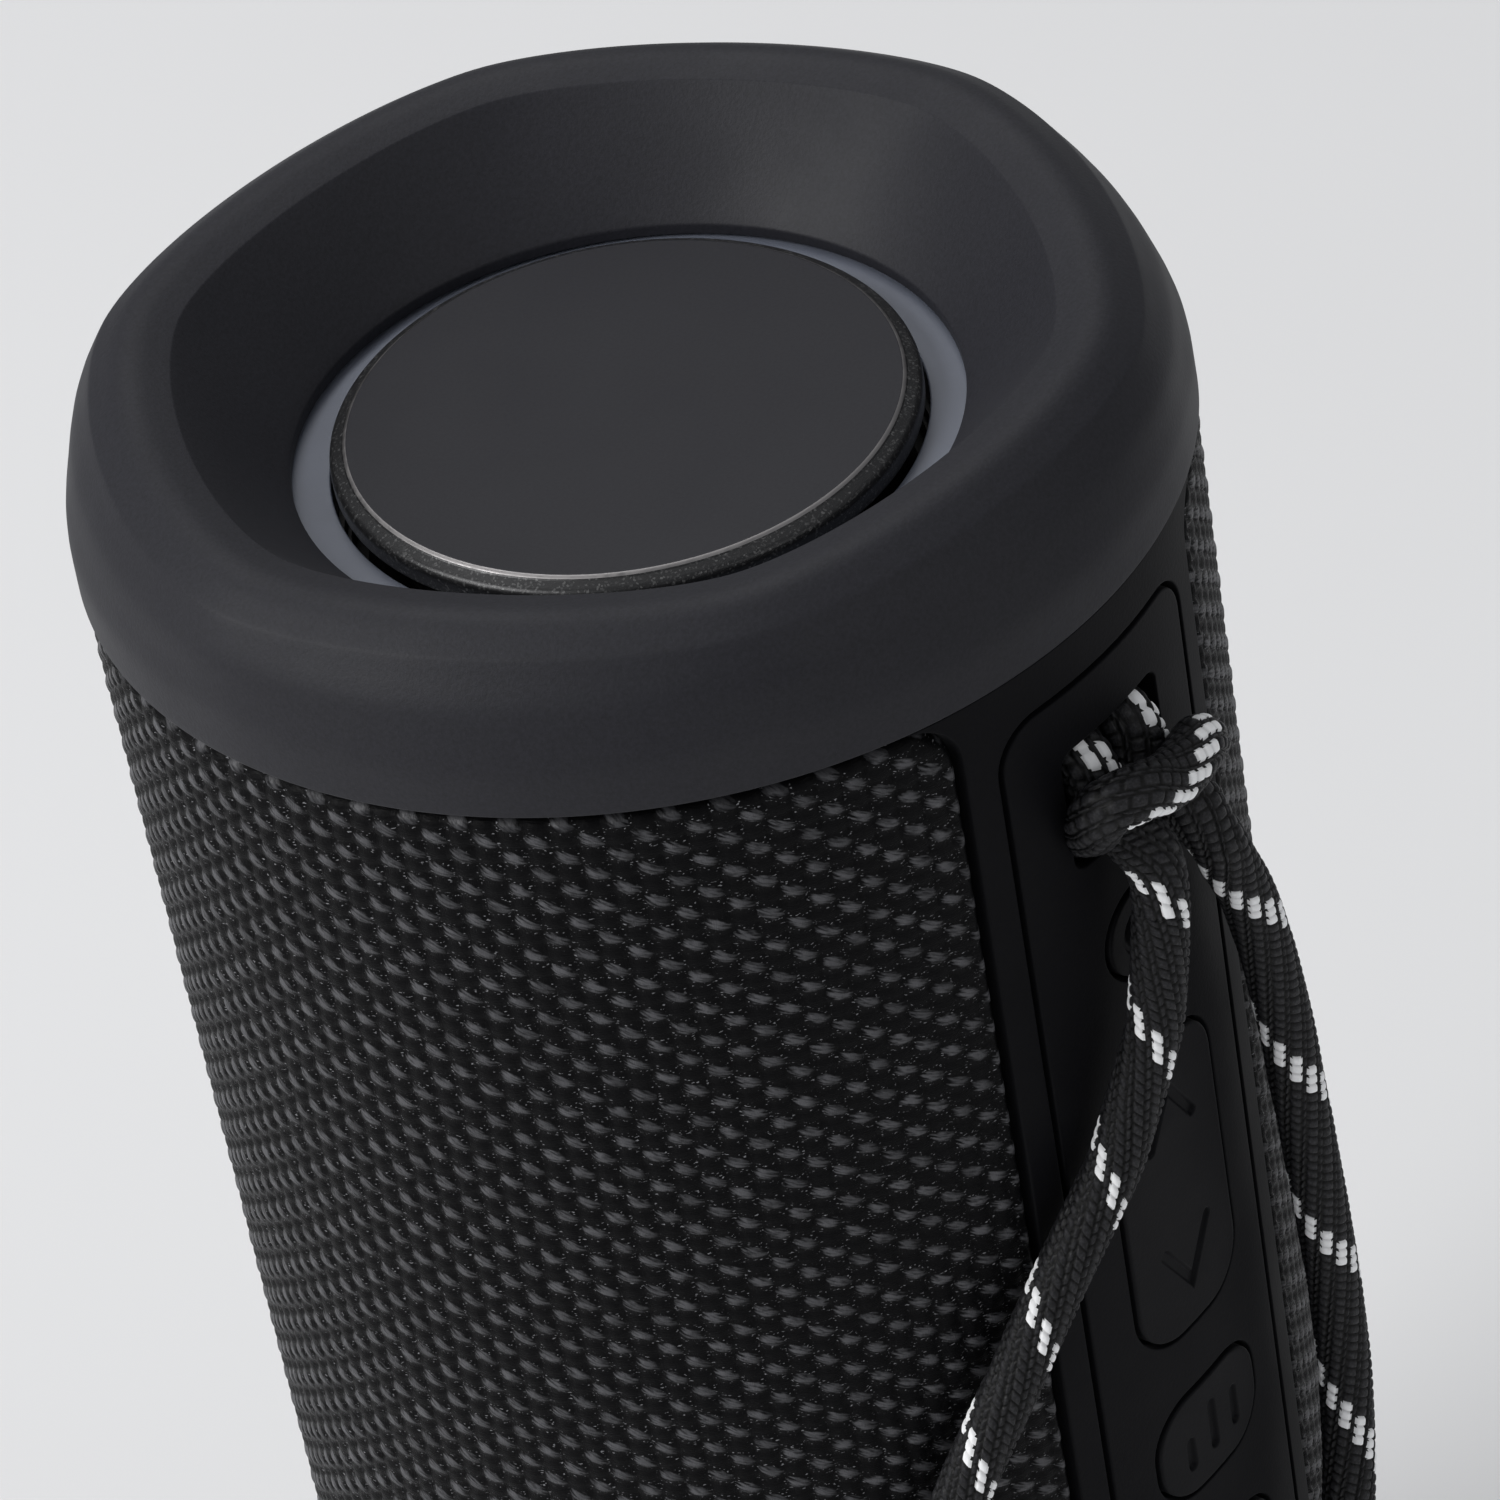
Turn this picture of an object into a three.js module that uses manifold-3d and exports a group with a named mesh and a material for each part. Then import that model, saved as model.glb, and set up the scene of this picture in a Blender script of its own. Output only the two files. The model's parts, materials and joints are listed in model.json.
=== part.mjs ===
// Portable cylindrical speaker with a rope lanyard, standing on its lower end cap.
// Millimetres, +Z up along the speaker's axis, origin at the middle of the standing face,
// control panel facing -Y. Neighbouring pieces keep a gap of about 0.3 mm.

import * as THREE from 'three';
import { mergeVertices } from 'three/addons/utils/BufferGeometryUtils.js';
import Module from 'manifold-3d';

const wasm = await Module();
wasm.setup();

// ---------------------------------------------------------------- driving dimensions

const BODY_R = 42.5;            // outer radius of the end caps at their edge
const LENGTH = 200;             // overall length, cap crest to cap crest
const CAP_H = 13;               // height of an end cap
const GAP = 0.3;                // clearance between neighbouring pieces
const TOP_EDGE = LENGTH - CAP_H;
const BOTTOM_EDGE = CAP_H;

const SKIN_R = 42.3;            // outer surface of the panel and the cloth
const SKIN_IN = 40.3;           // inner surface of the panel and the cloth
const HOUSING_R = 40;
const HOUSING_IN = 37.5;
const TURN = 48;                // facets round the large turned pieces
const FINE = 24;                // facets round the smaller turned pieces
const SMALL = 10;               // facets round screws, stems and bores

const LOBES = 6;                // soft corners round each end cap
const LOBE_DEPTH = 0.7;
const LOBE_PHASE = THREE.MathUtils.degToRad(-7);

const PANEL_HALF = 14.1;        // half width of the panel frame
const PANEL_FILLET = 4.6;       // hollow fillet where the frame meets the caps
const PAD_HALF = 11.1;          // half width of the soft control pad
const GROOVE = 0.5;             // groove between the pad and its frame
const PAD_END = 4.5;            // pad's end to the cap's edge
const PAD_CORNER = 3.5;
const BUTTON_GAP = 0.4;

// Heights on the panel are measured down from the upper cap's edge.
const below = (distance) => TOP_EDGE - distance;

const SLOT = { half: 6, top: below(9.6), bottom: below(20.4), corner: 1.2 };
const PIN = { r: 1.3, z: below(15), y: -38.9 };
const CUP_WALL = 1.5;
const CUP_BACK = -30.5;

const BUTTONS = {
  power_button: { z: below(29.75), halfX: 4, halfZ: 4, corner: 3.99 },
  eq_button: { z: below(81.5), halfX: 6.5, halfZ: 5, corner: 4.2 },
  play_button: { z: below(98.6), halfX: 6.5, halfZ: 5, corner: 4.2 },
  pairing_button: { z: below(114.4), halfX: 4, halfZ: 4, corner: 3.99 },
};
const ROCKER = { z: below(56), halfX: 6.5, halfZ: 14, corner: 4.6 };
const LENS = { z: below(126), halfX: 4.6, halfZ: 0.9, corner: 0.88 };
const PORT = { z: below(148), halfX: 6.5, halfZ: 11, corner: 0.9 };
const COVER_GAP = 0.45;         // lets the cover's hinged edge swing past the pad
const COVER_HINGE = { x: -5.5, y: -40.95, r: 1 };

const DRIVER_HEIGHTS = { upper_driver: 132, lower_driver: 68 };
const DRIVER_FACE = -27.1;      // plane of the baffle's outer face
const WINDOW_HALF = 26.8;       // half width of the housing's driver window
const WINDOW_LOW = 36;
const WINDOW_HIGH = 164;

const ROPE_R = 2.15;
const HITCH_R = 1.55;           // the rope is drawn tight inside the hitch

// ---------------------------------------------------------------- materials

const material = (color, roughness, metalness = 0) =>
  new THREE.MeshStandardMaterial({ color, roughness, metalness });

const silicone = material(0x232327, 0.75);
const cloth = material(0x161618, 0.9);
const rope = material(0x18181a, 0.85);
const blackPlastic = material(0x1b1b1d, 0.5);
const satinPlate = material(0x2a2a2e, 0.35, 0.3);
const diffuserPlastic = material(0x9aa3b2, 0.4);
const steel = material(0x9b9da1, 0.3, 1);
const rubber = material(0x111112, 0.8);
const paper = material(0x242424, 0.9);
const board = material(0x184a2e, 0.6);
const cellWrap = material(0x2c6db0, 0.4);

// ---------------------------------------------------------------- geometry helpers

// One closed, outward-facing, indexed geometry with its shared vertices merged.
function closed(source) {
  const bare = source.clone();
  bare.deleteAttribute('normal');
  bare.deleteAttribute('uv');
  const merged = mergeVertices(bare, 1e-4);
  const index = merged.index.array;
  const p = merged.attributes.position;
  const corner = [new THREE.Vector3(), new THREE.Vector3(), new THREE.Vector3()];
  const kept = [];
  let volume = 0;
  for (let i = 0; i < index.length; i += 3) {
    const [a, b, c] = [index[i], index[i + 1], index[i + 2]];
    if (a === b || b === c || c === a) continue;
    kept.push(a, b, c);
    [a, b, c].forEach((v, k) => corner[k].fromBufferAttribute(p, v));
    volume += corner[0].dot(corner[1].clone().cross(corner[2]));
  }
  if (volume < 0) {
    for (let i = 0; i < kept.length; i += 3) {
      [kept[i], kept[i + 1]] = [kept[i + 1], kept[i]];
    }
  }
  merged.setIndex(kept);
  return merged;
}

function solid(geometry) {
  const g = closed(geometry);
  return new wasm.Manifold(new wasm.Mesh({
    numProp: 3,
    vertProperties: new Float32Array(g.attributes.position.array),
    triVerts: new Uint32Array(g.index.array),
  }));
}

function geometryOf(manifold) {
  const mesh = manifold.getMesh();
  const g = new THREE.BufferGeometry();
  g.setAttribute('position', new THREE.BufferAttribute(new Float32Array(mesh.vertProperties), 3));
  g.setIndex(new THREE.BufferAttribute(new Uint32Array(mesh.triVerts), 1));
  return g;
}

// Profile of [radius, height] pairs turned about Z. It closes on itself, or runs between two
// points on the axis.
function turned(profile, segments = FINE) {
  const points = profile.map(([r, z]) => new THREE.Vector2(r, z));
  if (profile[0][0] > 0) points.push(points[0].clone());
  return new THREE.LatheGeometry(points, segments).rotateX(Math.PI / 2);
}

const ring = (rIn, rOut, z0, z1, segments = FINE) =>
  turned([[rIn, z0], [rOut, z0], [rOut, z1], [rIn, z1]], segments);

const rod = (r, z0, z1, segments = FINE) =>
  turned([[0, z0], [r, z0], [r, z1], [0, z1]], segments);

const boxBetween = (x0, x1, y0, y1, z0, z1) =>
  new THREE.BoxGeometry(x1 - x0, y1 - y0, z1 - z0)
    .translate((x0 + x1) / 2, (y0 + y1) / 2, (z0 + z1) / 2);

// Rounded rectangle in the panel's plane: across is X, up is Z.
function roundedShape(halfX, z0, z1, corner) {
  const shape = new THREE.Shape();
  shape.absarc(halfX - corner, z1 - corner, corner, 0, Math.PI / 2);
  shape.absarc(-halfX + corner, z1 - corner, corner, Math.PI / 2, Math.PI);
  shape.absarc(-halfX + corner, z0 + corner, corner, Math.PI, 1.5 * Math.PI);
  shape.absarc(halfX - corner, z0 + corner, corner, 1.5 * Math.PI, 2 * Math.PI);
  return shape;
}

const roundedAt = ({ z, halfX, halfZ, corner }, grow = 0) =>
  roundedShape(halfX + grow, z - halfZ - grow, z + halfZ + grow, corner + grow);

// The panel-plane shape pushed through the front of the body, from y = front to y = back.
function throughFront(shape, front = -60, back = -20, curveSegments = 2) {
  const options = { depth: back - front, bevelEnabled: false, curveSegments };
  return new THREE.ExtrudeGeometry(shape, options).rotateX(Math.PI / 2).translate(0, back, 0);
}

const tube = (rIn, rOut, z0 = 0, z1 = LENGTH) => solid(ring(rIn, rOut, z0, z1, TURN));

// The part of a tube wall that lies behind a panel-plane shape.
const curvedPlate = (shape, rIn, rOut) => tube(rIn, rOut).intersect(solid(throughFront(shape)));

// ---------------------------------------------------------------- scene graph

const speaker = new THREE.Group();

function add(name, geometry, look, parent = speaker) {
  const mesh = new THREE.Mesh(closed(geometry), look);
  mesh.name = name;
  parent.add(mesh);
  return mesh;
}

const addSolid = (name, manifold, look, parent = speaker) =>
  add(name, geometryOf(manifold), look, parent);

// ---------------------------------------------------------------- end caps and radiators

// Height 0 is the cap's edge, and the crest is at CAP_H.
const CAP_PROFILE = [
  [42.5, 0], [42.3, 4.4], [41.2, 8.6], [39.3, 11.2], [34.9, CAP_H], [33.2, CAP_H],
  [32.4, 12.1], [28.7, 7], [25.5, 3.5], [25.5, 2.4], [26.6, 2.3], [34.6, 10.3],
  [38, 9.8], [40.1, 5.4], [40.15, 0],
];

const FRAME_PROFILE = [
  [39.8, -0.7], [39.8, 4.8], [37.2, 8.6], [34.1, 9.2], [27, 1.9], [27, -3], [22, -3],
  [22, -5], [37.2, -5], [37.2, -0.7],
];

const DISC_PROFILE = [
  [0, 5], [21.2, 5], [22.1, 4.5], [22.3, 3.9], [22.3, 2.8], [21.9, 2.4], [12, 2.4],
  [12, -4.1], [0, -4.1],
];

const SURROUND_PROFILE = [
  [15.5, -4.9], [16.8, -4.9], [19, -3], [21.2, -5.3], [25, -5.3], [25, -6.3], [20.6, -6.3],
  [19, -4.4], [17.4, -6], [15.5, -6],
];

const SCREW_RADIUS = 33;
const SCREW_ANGLES = [90, 210, 330];
const SCREW = { head: 2.3, shank: 1.1, seat: -1, headTop: 0.9, tip: -11 };
const BOSS = { r: 4.4, length: 7, depth: 5.3, radius: SCREW_RADIUS + 0.8 };

function atAngle(degrees, radius) {
  const a = THREE.MathUtils.degToRad(degrees);
  return [radius * Math.cos(a), radius * Math.sin(a)];
}

// Soft corners: the rim swells and draws in round the cap, more so towards the crest.
function lobed(geometry) {
  const p = geometry.attributes.position;
  for (let i = 0; i < p.count; i += 1) {
    const angle = LOBES * (Math.atan2(p.getY(i), p.getX(i)) - LOBE_PHASE);
    const wave = 0.8 * Math.cos(angle) + 0.2 * Math.cos(2 * angle);
    const share = THREE.MathUtils.smoothstep(p.getZ(i), 3, 12);
    const radius = Math.hypot(p.getX(i), p.getY(i));
    const swell = 1 + (LOBE_DEPTH * share * wave) / radius;
    p.setXY(i, p.getX(i) * swell, p.getY(i) * swell);
  }
  return geometry;
}

function endFrame() {
  let frame = solid(turned(FRAME_PROFILE, TURN));
  for (const angle of SCREW_ANGLES) {
    const [x, y] = atAngle(angle, SCREW_RADIUS);
    frame = frame
      .subtract(solid(rod(SCREW.head + 0.4, SCREW.seat, CAP_H, SMALL).translate(x, y, 0)))
      .subtract(solid(rod(SCREW.shank + GAP, -6, 0, SMALL).translate(x, y, 0)));
  }
  return frame;
}

function screw() {
  const { head, shank, seat, headTop, tip } = SCREW;
  return turned([
    [0, headTop], [head * 0.7, headTop], [head, headTop - 0.6], [head, seat + GAP],
    [shank, seat + GAP], [shank, tip + 1], [0, tip],
  ], SMALL);
}

function buildEnd(side) {
  const end = new THREE.Group();
  add(`${side}_cap`, lobed(turned(CAP_PROFILE, TURN)), silicone, end);
  addSolid(`${side}_end_frame`, endFrame(), blackPlastic, end);
  add(`${side}_light_ring`, ring(22.9, 26.6, -1.4, 2.1), diffuserPlastic, end);
  add(`${side}_light_board`, ring(22.4, 26.6, -2.7, -1.7), board, end);
  add(`${side}_radiator_disc`, turned(DISC_PROFILE), satinPlate, end);
  add(`${side}_radiator_weight`, rod(15.2, -7.4, -4.4), steel, end);
  add(`${side}_radiator_surround`, turned(SURROUND_PROFILE), rubber, end);
  SCREW_ANGLES.forEach((angle, i) => {
    const [x, y] = atAngle(angle, SCREW_RADIUS);
    add(`${side}_frame_screw_${i + 1}`, screw(), steel, end).position.set(x, y, 0);
  });
  return end;
}

const topEnd = buildEnd('top');
topEnd.position.z = TOP_EDGE;
const bottomEnd = buildEnd('bottom');
bottomEnd.rotation.x = Math.PI;
bottomEnd.position.z = BOTTOM_EDGE;
speaker.add(topEnd, bottomEnd);

// ---------------------------------------------------------------- housing

const BOARD_WINDOW = { half: 9, low: below(128.5), high: below(24.7) };
const PORT_TRAY = { half: 7.7, halfZ: 12, wall: 1.6, back: -30 };

function housing() {
  let shell = tube(HOUSING_IN, HOUSING_R, BOTTOM_EDGE + 1, TOP_EDGE - 1);
  const upperBoss = TOP_EDGE - BOSS.depth - BOSS.length;
  const lowerBoss = BOTTOM_EDGE + BOSS.depth;
  for (const angle of SCREW_ANGLES) {
    const [x, y] = atAngle(angle, BOSS.radius);
    const boss = rod(BOSS.r, 0, BOSS.length, SMALL);
    shell = shell
      .add(solid(boss.clone().translate(x, y, upperBoss)))
      .add(solid(boss.clone().translate(x, -y, lowerBoss)));
  }
  shell = shell.intersect(solid(rod(HOUSING_R, 0, LENGTH, TURN)));
  for (const angle of SCREW_ANGLES) {
    const [x, y] = atAngle(angle, SCREW_RADIUS);
    const pilot = rod(SCREW.shank + GAP, -1, BOSS.length + 1, SMALL);
    shell = shell
      .subtract(solid(pilot.clone().translate(x, y, upperBoss)))
      .subtract(solid(pilot.clone().translate(x, -y, lowerBoss)));
  }
  const { half, low, high } = BOARD_WINDOW;
  const cupHole = { halfX: SLOT.half + CUP_WALL + GAP, grow: CUP_WALL + GAP };
  const trayHalf = PORT_TRAY.half + GAP;
  const trayHalfZ = PORT_TRAY.halfZ + GAP;
  const openings = [
    boxBetween(-60, -20, -WINDOW_HALF, WINDOW_HALF, WINDOW_LOW, WINDOW_HIGH),
    boxBetween(-half, half, -60, -20, low, high),
    boxBetween(-cupHole.halfX, cupHole.halfX, -60, -20,
      SLOT.bottom - cupHole.grow, SLOT.top + cupHole.grow),
    boxBetween(-trayHalf, trayHalf, -60, -20, PORT.z - trayHalfZ, PORT.z + trayHalfZ),
  ];
  for (const opening of openings) shell = shell.subtract(solid(opening));
  return shell;
}

addSolid('housing', housing(), blackPlastic);

// ---------------------------------------------------------------- cloth sleeve and panel

// Outline of the panel frame: a straight strip that flares into each cap's edge.
function panelOutline(grow) {
  const r = PANEL_FILLET - grow;
  const side = PANEL_HALF + PANEL_FILLET;
  const top = TOP_EDGE - GAP;
  const bottom = BOTTOM_EDGE + GAP;
  const shape = new THREE.Shape();
  shape.moveTo(-side, top + grow);
  shape.lineTo(-side, top);
  shape.absarc(-side, top - PANEL_FILLET, r, Math.PI / 2, 0, true);
  shape.absarc(-side, bottom + PANEL_FILLET, r, 0, -Math.PI / 2, true);
  shape.lineTo(-side, bottom - grow);
  shape.lineTo(side, bottom - grow);
  shape.absarc(side, bottom + PANEL_FILLET, r, -Math.PI / 2, -Math.PI, true);
  shape.absarc(side, top - PANEL_FILLET, r, Math.PI, Math.PI / 2, true);
  shape.lineTo(side, top + grow);
  return shape;
}

const padShape = (grow) =>
  roundedShape(PAD_HALF + grow, BOTTOM_EDGE + PAD_END - grow, TOP_EDGE - PAD_END + grow,
    PAD_CORNER + grow);

function clothSleeve() {
  const sleeve = tube(SKIN_IN, SKIN_R - 0.1, BOTTOM_EDGE + GAP, TOP_EDGE - GAP);
  return sleeve.subtract(solid(throughFront(panelOutline(GAP))));
}

function panelFrame() {
  const strip = curvedPlate(panelOutline(0), SKIN_IN, SKIN_R);
  return strip.subtract(solid(throughFront(padShape(GROOVE))));
}

const slotShape = roundedShape(SLOT.half, SLOT.bottom, SLOT.top, SLOT.corner);

const EAR = { front: -40.7, halfZ: 2.6 };

// The cup's side walls rise in two ears that hold the pin's ends, behind the pad.
function pinEars(grow) {
  const inner = SLOT.half - grow;
  const outer = SLOT.half + CUP_WALL + grow;
  return [-1, 1].map((side) => solid(boxBetween(
    Math.min(side * inner, side * outer), Math.max(side * inner, side * outer),
    EAR.front - grow, PIN.y, PIN.z - EAR.halfZ - grow, PIN.z + EAR.halfZ + grow)));
}

function controlPad() {
  let pad = curvedPlate(padShape(0), SKIN_IN, SKIN_R);
  for (const ear of pinEars(GAP)) pad = pad.subtract(ear);
  const holes = [slotShape, roundedAt(LENS, GAP), roundedAt(PORT, COVER_GAP),
    roundedAt(ROCKER, BUTTON_GAP), ...Object.values(BUTTONS).map((b) => roundedAt(b, BUTTON_GAP))];
  for (const hole of holes) pad = pad.subtract(solid(throughFront(hole)));
  return pad;
}

addSolid('cloth_sleeve', clothSleeve(), cloth);
addSolid('panel_frame', panelFrame(), silicone);
addSolid('control_pad', controlPad(), silicone);

// ---------------------------------------------------------------- buttons and their board

const STEM = { r: 2, tip: -37.9 };      // presses on a switch behind the housing
const BUTTON_BACK = SKIN_IN - 0.5;
const BUTTON_FACE = SKIN_R + 0.15;      // stands just proud of the pad
const LENS_BACK = 37.6;

function buttonSolid(outline, stemHeights) {
  let button = curvedPlate(roundedAt(outline), BUTTON_BACK, BUTTON_FACE);
  for (const z of stemHeights) {
    const stem = rod(STEM.r, 0, 3, SMALL).rotateX(Math.PI / 2).translate(0, STEM.tip, z);
    button = button.add(solid(stem));
  }
  return button;
}

for (const [name, outline] of Object.entries(BUTTONS)) {
  addSolid(name, buttonSolid(outline, [outline.z]), silicone);
}

const ROCKER_REACH = 8.5;               // switch heights above and below the rocker's middle
const rockerStems = [ROCKER.z - ROCKER_REACH, ROCKER.z + ROCKER_REACH];
addSolid('volume_rocker', buttonSolid(ROCKER, rockerStems), silicone);
addSolid('status_lens', curvedPlate(roundedAt(LENS), LENS_BACK, SKIN_R - 0.05), diffuserPlastic);

const BUTTON_BOARD = { front: -35.6, back: -34.4, half: 8.4 };
add('button_board', boxBetween(-BUTTON_BOARD.half, BUTTON_BOARD.half, BUTTON_BOARD.front,
  BUTTON_BOARD.back, below(127.8), below(25.4)), board);

const SWITCH = { half: 2.2, front: -37 };
const switchHeights = {
  power_switch: BUTTONS.power_button.z,
  volume_up_switch: ROCKER.z + ROCKER_REACH,
  volume_down_switch: ROCKER.z - ROCKER_REACH,
  eq_switch: BUTTONS.eq_button.z,
  play_switch: BUTTONS.play_button.z,
  pairing_switch: BUTTONS.pairing_button.z,
};
for (const [name, z] of Object.entries(switchHeights)) {
  const { half, front } = SWITCH;
  add(name, boxBetween(-half, half, front, BUTTON_BOARD.front - GAP, z - half, z + half), steel);
}

// ---------------------------------------------------------------- lanyard anchor

function lanyardCup() {
  const out = roundedShape(SLOT.half + CUP_WALL, SLOT.bottom - CUP_WALL, SLOT.top + CUP_WALL, 2);
  const hollow = throughFront(roundedShape(SLOT.half, SLOT.bottom, SLOT.top, 1),
    -60, CUP_BACK - CUP_WALL);
  const pinHole = rod(PIN.r + 0.15, -20, 20, SMALL).rotateY(Math.PI / 2).translate(0, PIN.y, PIN.z);
  let cup = solid(throughFront(out, -60, CUP_BACK)).intersect(tube(5, HOUSING_R));
  for (const ear of pinEars(0)) cup = cup.add(ear);
  return cup.subtract(solid(hollow)).subtract(solid(pinHole));
}

addSolid('lanyard_cup', lanyardCup(), blackPlastic);
const pinHalf = SLOT.half + CUP_WALL - 0.1;
add('lanyard_pin', rod(PIN.r, -pinHalf, pinHalf, SMALL).rotateY(Math.PI / 2), steel)
  .position.set(0, PIN.y, PIN.z);

// ---------------------------------------------------------------- charging port

function portTray() {
  const { half, halfZ, wall, back } = PORT_TRAY;
  const outer = { z: PORT.z, halfX: half, halfZ, corner: 1.5 };
  const mouth = { z: PORT.z, halfX: half - wall, halfZ: halfZ - wall, corner: 1.2 };
  return solid(throughFront(roundedAt(outer), -60, back))
    .intersect(tube(5, HOUSING_R))
    .subtract(solid(throughFront(roundedAt(mouth), -60, back - wall)))
    .subtract(solid(boxBetween(-SOCKET.halfX - GAP, SOCKET.halfX + GAP, -60, back + 1,
      PORT.z - SOCKET.halfZ - GAP, PORT.z + SOCKET.halfZ + GAP)));
}

const SOCKET = { halfX: 1.6, halfZ: 4.5, mouth: -32.2, back: -24.5, wall: 0.3 };

function chargeSocket() {
  const { halfX, halfZ, mouth, back, wall } = SOCKET;
  const shape = { z: PORT.z, halfX, halfZ, corner: 1.5 };
  const inner = { z: PORT.z, halfX: halfX - wall, halfZ: halfZ - wall, corner: 1.25 };
  return solid(throughFront(roundedAt(shape), mouth, back))
    .subtract(solid(throughFront(roundedAt(inner), mouth - 5, back - 1)))
    .add(solid(boxBetween(-0.35, 0.35, mouth + 0.6, back - 0.5, PORT.z - 3.2, PORT.z + 3.2)));
}

// The cover swings on a knuckle along its left edge, and a boss on its back plugs the tray.
function portCover() {
  const { x, y, r } = COVER_HINGE;
  const low = PORT.z - PORT.halfZ;
  const high = PORT.z + PORT.halfZ;
  return curvedPlate(roundedAt(PORT), SKIN_IN, SKIN_R)
    .subtract(solid(boxBetween(-20, x, -60, -20, low - 1, high + 1)))
    .add(solid(rod(r, low + 1.6, high - 1.6, SMALL).translate(x, y, 0)))
    .add(solid(boxBetween(-2.8, 5.2, -41, -38.1, low + 3.2, high - 3.2)));
}

addSolid('port_tray', portTray(), blackPlastic);
addSolid('charge_socket', chargeSocket(), steel);
addSolid('port_cover', portCover(), silicone);

// ---------------------------------------------------------------- drivers

function driverGrille() {
  const half = WINDOW_HALF - 0.4;
  let grille = tube(HOUSING_IN + 0.2, HOUSING_R - 0.2).intersect(solid(boxBetween(-60, -20, -half, half,
    WINDOW_LOW + 0.4, WINDOW_HIGH - 0.4)));
  const slotCount = 9;
  const slotLength = 40;
  const slotPitch = 5;
  const slotHalf = 1.5;
  for (const centre of Object.values(DRIVER_HEIGHTS)) {
    for (let i = 0; i < slotCount; i += 1) {
      const y = (i - (slotCount - 1) / 2) * slotPitch;
      const slot = boxBetween(-60, -20, y - slotHalf, y + slotHalf,
        centre - slotLength / 2, centre + slotLength / 2);
      grille = grille.subtract(solid(slot));
    }
  }
  return grille;
}

const BAFFLE_HOLE = 22.5;

function driverBaffle() {
  let plate = solid(boxBetween(DRIVER_FACE + GAP, -24.8, -25.9, 25.9,
    WINDOW_LOW + 1, WINDOW_HIGH - 1));
  for (const centre of Object.values(DRIVER_HEIGHTS)) {
    const hole = rod(BAFFLE_HOLE, -60, 60).rotateY(Math.PI / 2).translate(0, 0, centre);
    plate = plate.subtract(solid(hole));
  }
  return plate;
}

// Driver profiles are [radius, depth], with depth 0 on the baffle's outer face and depths
// above it towards the cloth.
const BASKET_PROFILE = [
  [0, -15.2], [13, -15.2], [21.8, -3.4], [22.1, 0], [24.5, 0], [24.5, 1.2], [21.4, 1.2],
  [20.6, -3], [12, -14], [0, -14],
];
const CONE_PROFILE = [
  [0, -1.6], [4, -2.2], [8, -4.2], [17.7, 1.4], [17.7, 0.6], [8.2, -5.2], [8.2, -11],
  [7.4, -11], [7.4, -5], [0, -2.4],
];
const CONE_SURROUND_PROFILE = [
  [18, 0.7], [18.7, 1.2], [20.1, 2.6], [22, 1.5], [23.2, 1.5], [23.2, 2.1], [22.4, 2.2],
  [20.1, 3.4], [18, 2],
];

function buildDriver(name, height) {
  const driver = new THREE.Group();
  add(`${name}_basket`, turned(BASKET_PROFILE), blackPlastic, driver);
  add(`${name}_magnet`, rod(13.5, -24.5, -15.5), steel, driver);
  add(`${name}_cone`, turned(CONE_PROFILE), paper, driver);
  add(`${name}_surround`, turned(CONE_SURROUND_PROFILE), rubber, driver);
  driver.rotation.y = -Math.PI / 2;
  driver.position.set(DRIVER_FACE, 0, height);
  return driver;
}

addSolid('driver_grille', driverGrille(), blackPlastic);
addSolid('driver_baffle', driverBaffle(), blackPlastic);
for (const [name, height] of Object.entries(DRIVER_HEIGHTS)) {
  speaker.add(buildDriver(name, height));
}

// ---------------------------------------------------------------- battery and main board

const CELL = { r: 9.2, length: 65, x: 24, y: 10, low: 62 };

function batteryHolder() {
  const { r, length, x, y, low } = CELL;
  const back = x - r - 2.4;
  const half = y + r + 0.6;
  const lip = 2;
  const high = low + length;
  return solid(boxBetween(back, back + 2, -half, half, low - lip - GAP, high + lip + GAP))
    .add(solid(boxBetween(back, x + 4, -half, half, low - lip - GAP, low - GAP)))
    .add(solid(boxBetween(back, x + 4, -half, half, high + GAP, high + lip + GAP)));
}

function cell() {
  const { r, length } = CELL;
  return turned([[0, 0], [r - 0.4, 0], [r, 0.5], [r, length - 1.6], [r - 0.5, length - 1],
    [3, length - 1], [3, length], [0, length]], 24);
}

addSolid('battery_holder', batteryHolder(), blackPlastic);
add('battery_cell_1', cell(), cellWrap).position.set(CELL.x, CELL.y, CELL.low);
add('battery_cell_2', cell(), cellWrap).position.set(CELL.x, -CELL.y, CELL.low);
add('main_board', boxBetween(6, 7.6, -27, 27, 45, 158), board);

// ---------------------------------------------------------------- rope lanyard

// Routes are [along the surface from the panel's middle, down from the upper cap's edge,
// out from the panel's surface].
const HITCH_ROUTE = [
  [-2.1, 24, 4], [-1.6, 20.8, 3.4], [-2, 17.8, 1.2], [-2.6, 14.8, -0.1],
  [-2.6, 12.4, -1.3], [-2.6, 11.7, -3.6], [-2.7, 12.8, -5.9], [-2.9, 15.2, -6.8],
  [-3.3, 17.6, -5.7], [-3.8, 18.5, -3.2], [-4.1, 17.7, -0.9], [-4.9, 15.9, 1.3],
  [-5.4, 14, 2.6], [-4.9, 12.8, 3.7], [-3.5, 12.6, 4.5], [-0.6, 13.7, 4.7],
  [1.9, 14.1, 4.5], [4, 14.5, 4], [5.6, 15.7, 3.3], [5.5, 17.4, 2],
  [4, 18.4, -0.7], [3.8, 18.5, -3.2], [3.3, 17.6, -5.7], [2.9, 15.2, -6.8],
  [2.7, 12.8, -5.9], [2.6, 11.7, -3.6], [2.6, 12.4, -1.3], [2.6, 14.8, -0.1],
  [3.1, 17.8, 1], [4.3, 20.8, 2.7], [5.3, 24, 3.6],
];
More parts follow.
